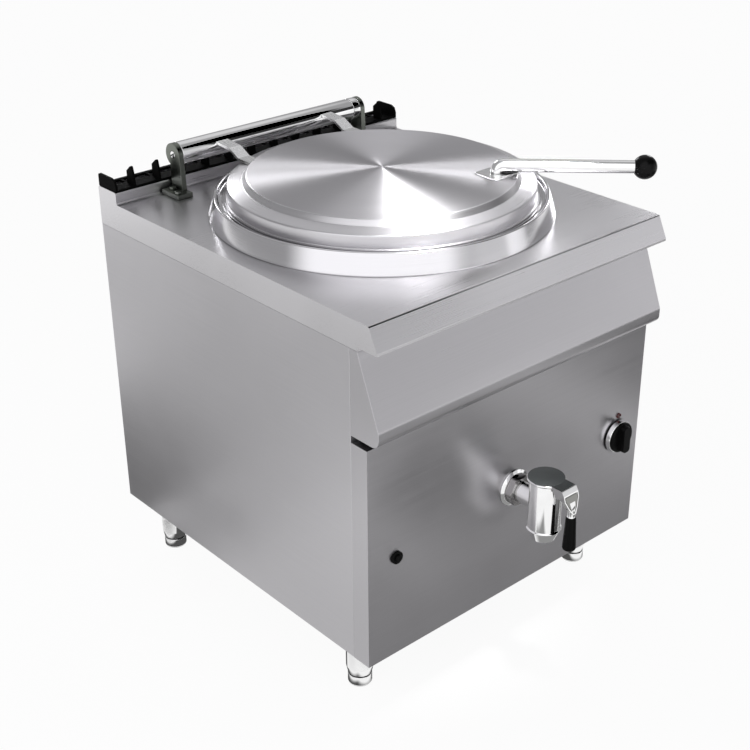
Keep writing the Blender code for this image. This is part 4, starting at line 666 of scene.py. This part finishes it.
def control():
    """Knob with its chrome skirt, the lamp over it, and the igniter."""
    back = FRONT + 0.007 - 0.0034
    face = back - 0.010
    outline = rounded([(0.0043, face), (0.0365, face), (0.038, back), (0.036, back), (0.0345, face + SHEET),
                       (0.0043, face + SHEET)], [0, 0.0012, 0.0006, 0.0006, 0.001, 0], steps=4)
    place = (KNOB.x, 0, KNOB.z)
    piece("knob_collar", turned(outline, ROUND, "Y"), chrome, "knob", ["knob_skirt"], place)
    dial = face - GAP
    front = dial - 0.005
    outline = rounded([(0, dial), (0.0345, dial), (0.0345, front), (0, front)], [0, 0.0003, 0.0020, 0], steps=5,
                      closed=False)
    mesh = turned(outline, ROUND, "Y")
    wing = rounded(rectangle((-0.011, -0.031), (0.011, 0.031)), 0.008)
    wing = prism(wing, "Y", front - 0.014, dial - 0.002, sharp=0)
    mesh = merged(mesh, wing, sharp=0)
    piece("knob_handle", mesh, plastic, "knob", ["knob_grip"], place, edge=0.0016)

    wall = FRONT + 0.007 - GAP
    outline = rounded([(0, wall - 0.004), (0.0058, wall - 0.0034), (0.0062, wall), (0, wall)], [0, 0.0018, 0, 0],
                      steps=6, closed=False)
    piece("lamp_lens", turned(outline, 48, "Y"), lens, "cabinet", ["indicator_lamp"],
          (0.330, 0, KNOB.z + 0.047))

    knurls = []
    for step in range(80):
        radius = 0.0135 - 0.0006 * (step % 4 in (2, 3))
        knurls.append((radius * math.cos(math.tau * step / 80), radius * math.sin(math.tau * step / 80)))
    place = (-0.328, 0, 0.3625)
    bore = prism([(0.0083 * math.cos(a * math.tau / 48), 0.0083 * math.sin(a * math.tau / 48)) for a in range(48)],
                 "Y", wall - 0.02, wall - 0.0005)
    collar = merged(prism(knurls, "Y", wall - 0.0055, wall), bore, "DIFFERENCE", sharp=0)
    piece("igniter_collar", collar, plastic, "cabinet", ["igniter_housing"], place, edge=0.0004)
    tip = wall - 0.010
    outline = rounded([(0, tip + 0.0006), (0.0055, tip), (0.008, tip + 0.001), (0.008, wall - 0.0048), (0, wall - 0.0048)],
                      [0, 0.001, 0.0012, 0, 0], steps=5, closed=False)
    piece("igniter_push_button", turned(outline, 48, "Y"), plastic, "igniter", ["igniter_button"],
          place)


def legs():
    """Chromed legs under the cabinet, with their caps."""
    top = 0.1317
    for side, x in (("left", -0.334), ("right", 0.334)):
        for end, y in (("front", FRONT + 0.112), ("rear", FRONT + 0.793)):
            outline = rounded([(0, top), (0.038, top), (0.038, top - SHEET), (0.029, top - SHEET), (0.029, 0.0435),
                               (0.0255, 0.0265), (0, 0.0265)], [0, 0.0005, 0.0005, 0.001, 0.004, 0.0015, 0], steps=4,
                              closed=False)
            place = (x, y, 0)
            piece(f"leg_tube_{end}_{side}", turned(outline, SMALL), chrome, "cabinet",
                  [f"leg_{end}_{side}"], place)
            outline = rounded([(0, 0), (0.0255, 0), (0.0255, 0.0235), (0.0100, 0.0235), (0.0100, 0.03), (0, 0.03)],
                              [0, 0.003, 0.0012, 0, 0, 0], steps=5, closed=False)
            body = f"foot_{end}_{side}"
            piece(f"foot_cap_{end}_{side}", turned(outline, SMALL), chrome, body, [body], place)


def fascia():
    """The blank strip under the lip: one bent sheet with its rolled foot, and its two ends."""
    back = FRONT + 0.0517
    shoulder = TOP - 0.0593
    foot = TOP - 0.2385
    nose = FRONT - 0.0245
    corners = [(back, shoulder), (FRONT + 0.031, shoulder), (FRONT + 0.0257, TOP - 0.0745), (nose, TOP - 0.204),
               (nose, foot), (back, foot)]
    path = rounded(corners, [0, 0.0012, 0.004, 0.018, 0.018, 0], steps=16, closed=False)
    inside = strip(path, SHEET)[len(path):]
    inside[0] += Vector((0.01, 0))
    inside[-1] += Vector((0.01, 0))
    mesh = merged(prism(path, "X", -0.4, 0.4), prism(inside, "X", -0.398, 0.398), "DIFFERENCE", sharp=25)
    piece("fascia_sheet", mesh, shaded_front_steel, "cabinet", ["control_fascia"], edge=0.0006)


fascia()
dress("flue_grille", enamel, 0.0008)
tap()
lever()
control()
legs()


# Floor, light and camera


def direction(compass, elevation):
    """A unit vector by its compass bearing from +y towards +x and its elevation, in degrees."""
    bearing, rise = math.radians(compass), math.radians(elevation)
    return Vector((math.sin(bearing) * math.cos(rise), math.cos(bearing) * math.cos(rise), math.sin(rise)))


def seen(tree):
    """One where the camera, a reflection or a view through something meets a surface."""
    path = put(tree, "ShaderNodeLightPath")
    rays = summed(tree, path.outputs["Is Camera Ray"], path.outputs["Is Glossy Ray"], "MAXIMUM")
    return summed(tree, rays, path.outputs["Is Transmission Ray"], "MAXIMUM")


def floor():
    """A pale floor, white where it is seen, that keeps a faint shadow."""
    shape = bmesh.new()
    bmesh.ops.create_grid(shape, x_segments=1, y_segments=1, size=14)
    ground = bpy.data.objects.new("floor", finished(shape, "floor"))
    bpy.context.scene.collection.objects.link(ground)
    paint, tree, shader = base("floor_paint", (0.82, 0.82, 0.82), 0.0, 0.85)
    light = put(tree, "ShaderNodeEmission", {"Color": (1, 1, 1, 1), "Strength": 1.0})
    mix = put(tree, "ShaderNodeMixShader")
    tree.links.new(summed(tree, seen(tree), 0.94, "MULTIPLY"), mix.inputs["Fac"])
    tree.links.new(shader.outputs["BSDF"], mix.inputs[1])
    tree.links.new(light.outputs["Emission"], mix.inputs[2])
    tree.links.new(mix.outputs["Shader"], tree.nodes["Material Output"].inputs["Surface"])
    ground.data.materials.append(paint)


def card(name, centre, half, soft, depth, upright=False):
    """A dark card that reflections alone see: full over its half sizes, then fading out."""
    shape = bmesh.new()
    far = [half[0] + soft, half[1] + soft]
    corners = ((-1, -1), (1, -1), (1, 1), (-1, 1))
    shape.faces.new([shape.verts.new((x * far[0], y * far[1], 0)) for x, y in corners])
    sheet = bpy.data.objects.new(name, finished(shape, name))
    sheet.location = centre
    sheet.rotation_euler.x = math.pi / 2 if upright else 0
    bpy.context.scene.collection.objects.link(sheet)
    cloth = bpy.data.materials.new(name)
    cloth.use_nodes = True
    tree = cloth.node_tree
    tree.nodes.clear()
    where = put(tree, "ShaderNodeTexCoord")
    parts = put(tree, "ShaderNodeSeparateXYZ")
    tree.links.new(where.outputs["Object"], parts.inputs["Vector"])
    share = depth
    for axis, size in zip("XY", half):
        fade = put(tree, "ShaderNodeMapRange", {"From Min": size + soft, "From Max": size}, interpolation_type="SMOOTHSTEP")
        tree.links.new(summed(tree, parts.outputs[axis], 0, "ABSOLUTE"), fade.inputs["Value"])
        share = summed(tree, fade.outputs["Result"], share, "MULTIPLY")
    clear = put(tree, "ShaderNodeBsdfTransparent")
    dark = put(tree, "ShaderNodeEmission", {"Color": (0.02, 0.02, 0.02, 1), "Strength": 1.0})
    mix = put(tree, "ShaderNodeMixShader")
    tree.links.new(share, mix.inputs["Fac"])
    tree.links.new(clear.outputs["BSDF"], mix.inputs[1])
    tree.links.new(dark.outputs["Emission"], mix.inputs[2])
    output = put(tree, "ShaderNodeOutputMaterial")
    tree.links.new(mix.outputs["Shader"], output.inputs["Surface"])
    sheet.data.materials.append(cloth)
    sheet.visible_camera = False
    sheet.visible_diffuse = False
    sheet.visible_shadow = False


# Compass bearing, elevation, angle of full strength, angle where it ends, gain
LOBES = (
    (224, 20, 40, 62, 0.90),
    (41, 52, 12, 30, 0.32),
    (18, 17, 5, 9, 8.00),
    (64, 17, 5, 9, 8.50),
    (143, 8, 12, 30, 0.35),
    (126, 2, 6, 12, 0.45),
    (132, 44, 12, 20, -0.50),
    (140, 29, 7, 12, -0.50),
)
# Place, aim, size, watts, spread in degrees, whether metal shows it
LAMPS = (
    ("front_top_box", (0.10, -0.44, 2.30), (-0.01, -0.22, 0.95), (0.14, 0.14), 2.0, 23, True),
    ("left_box", (-2.6, -0.6, 2.0), (0.0, 0.0, 0.5), (1.6, 1.6), 30, 180, False),
)


def studio():
    """A surround by direction and two soft boxes."""
    world = bpy.data.worlds.new("surround")
    bpy.context.scene.world = world
    world.use_nodes = True
    tree = world.node_tree
    tree.nodes.clear()
    where = put(tree, "ShaderNodeTexCoord")
    level = 0.35
    for compass, elevation, full, end, gain in LOBES:
        dot = put(tree, "ShaderNodeVectorMath", operation="DOT_PRODUCT")
        dot.inputs[1].default_value = direction(compass, elevation)
        tree.links.new(where.outputs["Generated"], dot.inputs[0])
        near, far = math.cos(math.radians(full)), math.cos(math.radians(end))
        lobe = put(tree, "ShaderNodeMapRange", {"From Min": far, "From Max": near, "To Min": 0.0, "To Max": gain},
                   interpolation_type="SMOOTHSTEP")
        tree.links.new(dot.outputs["Value"], lobe.inputs["Value"])
        level = summed(tree, level, lobe.outputs["Result"])
    path = put(tree, "ShaderNodeLightPath")
    for ray, strength in (("Is Diffuse Ray", 0.55), ("Is Camera Ray", 1.0)):
        mix = put(tree, "ShaderNodeMix", data_type="FLOAT")
        tree.links.new(path.outputs[ray], mix.inputs["Factor"])
        tree.links.new(level, mix.inputs["A"])
        mix.inputs["B"].default_value = strength
        level = mix.outputs["Result"]
    sky = put(tree, "ShaderNodeBackground", {"Color": (0.985, 0.985, 1.0, 1)})
    tree.links.new(level, sky.inputs["Strength"])
    output = put(tree, "ShaderNodeOutputWorld")
    tree.links.new(sky.outputs["Background"], output.inputs["Surface"])

    for name, place, aim, size, watts, spread, mirrored in LAMPS:
        data = bpy.data.lights.new(name, "AREA")
        data.shape = "RECTANGLE"
        data.size, data.size_y = size
        data.energy = watts
        data.spread = math.radians(spread)
        lamp = bpy.data.objects.new(name, data)
        lamp.location = place
        lamp.visible_glossy = mirrored
        way = Vector(aim) - Vector(place)
        lamp.rotation_mode = "QUATERNION"
        lamp.rotation_quaternion = way.to_track_quat("-Z", "Y")
        bpy.context.scene.collection.objects.link(lamp)


def camera():
    """The camera at the photograph's viewing angle."""
    yaw, pitch, roll = math.radians(41.367), math.radians(-27.483), math.radians(-0.387)
    ahead = Vector((math.sin(yaw) * math.cos(pitch), math.cos(yaw) * math.cos(pitch), math.sin(pitch)))
    right = Vector((math.cos(yaw), -math.sin(yaw), 0))
    up = right.cross(ahead)
    across = right * math.cos(roll) + up * math.sin(roll)
    upward = up * math.cos(roll) - right * math.sin(roll)
    data = bpy.data.cameras.new("camera")
    data.lens = 66.284
    data.sensor_width = 36.0
    data.clip_start, data.clip_end = 0.05, 60
    eye = bpy.data.objects.new("camera", data)
    eye.matrix_world = Matrix((across, upward, -ahead)).transposed().to_4x4()
    eye.location = (-1.813317, -1.977184, 1.905349)
    bpy.context.scene.collection.objects.link(eye)
    bpy.context.scene.camera = eye


floor()
card("left_card", (0.08, -0.66, 0.004), (0.72, 0.24), 0.14, 0.72)
card("middle_card", (0.45, -1.15, 0.004), (0.25, 0.30), 0.20, 0.84)
card("right_card", (1.65, -1.10, 0.004), (0.58, 0.74), 0.16, 0.88)
card("front_strip", (0.35, -0.95, 0.004), (0.14, 0.10), 0.03, 0.95)
card("side_card", (-0.62, 0.80, 0.004), (0.10, 0.30), 0.30, 0.80)
# Painted shade: a faint dark card beside the left side panel, seen only in reflections, stands in for the floor's
# shade next to the panel.
card("painted_shade_card", (-0.62, 0.10, 0.004), (0.10, 0.30), 0.20, 0.30)
card("far_card", (-1.45, 1.35, 0.004), (0.30, 0.80), 0.35, 0.50)
# Painted shadow: a dark card under the cabinet, seen only in reflections, stands in for the floor's shadow beneath it.
card("painted_shadow_card", (0.0, 0.11, 0.004), (0.36, 0.37), 0.02, 0.93)
card("upright_card", (1.25, -0.62, 1.62), (0.95, 0.42), 0.04, 0.97, upright=True)
studio()
camera()
bpy.context.scene.view_settings.view_transform = "Standard"
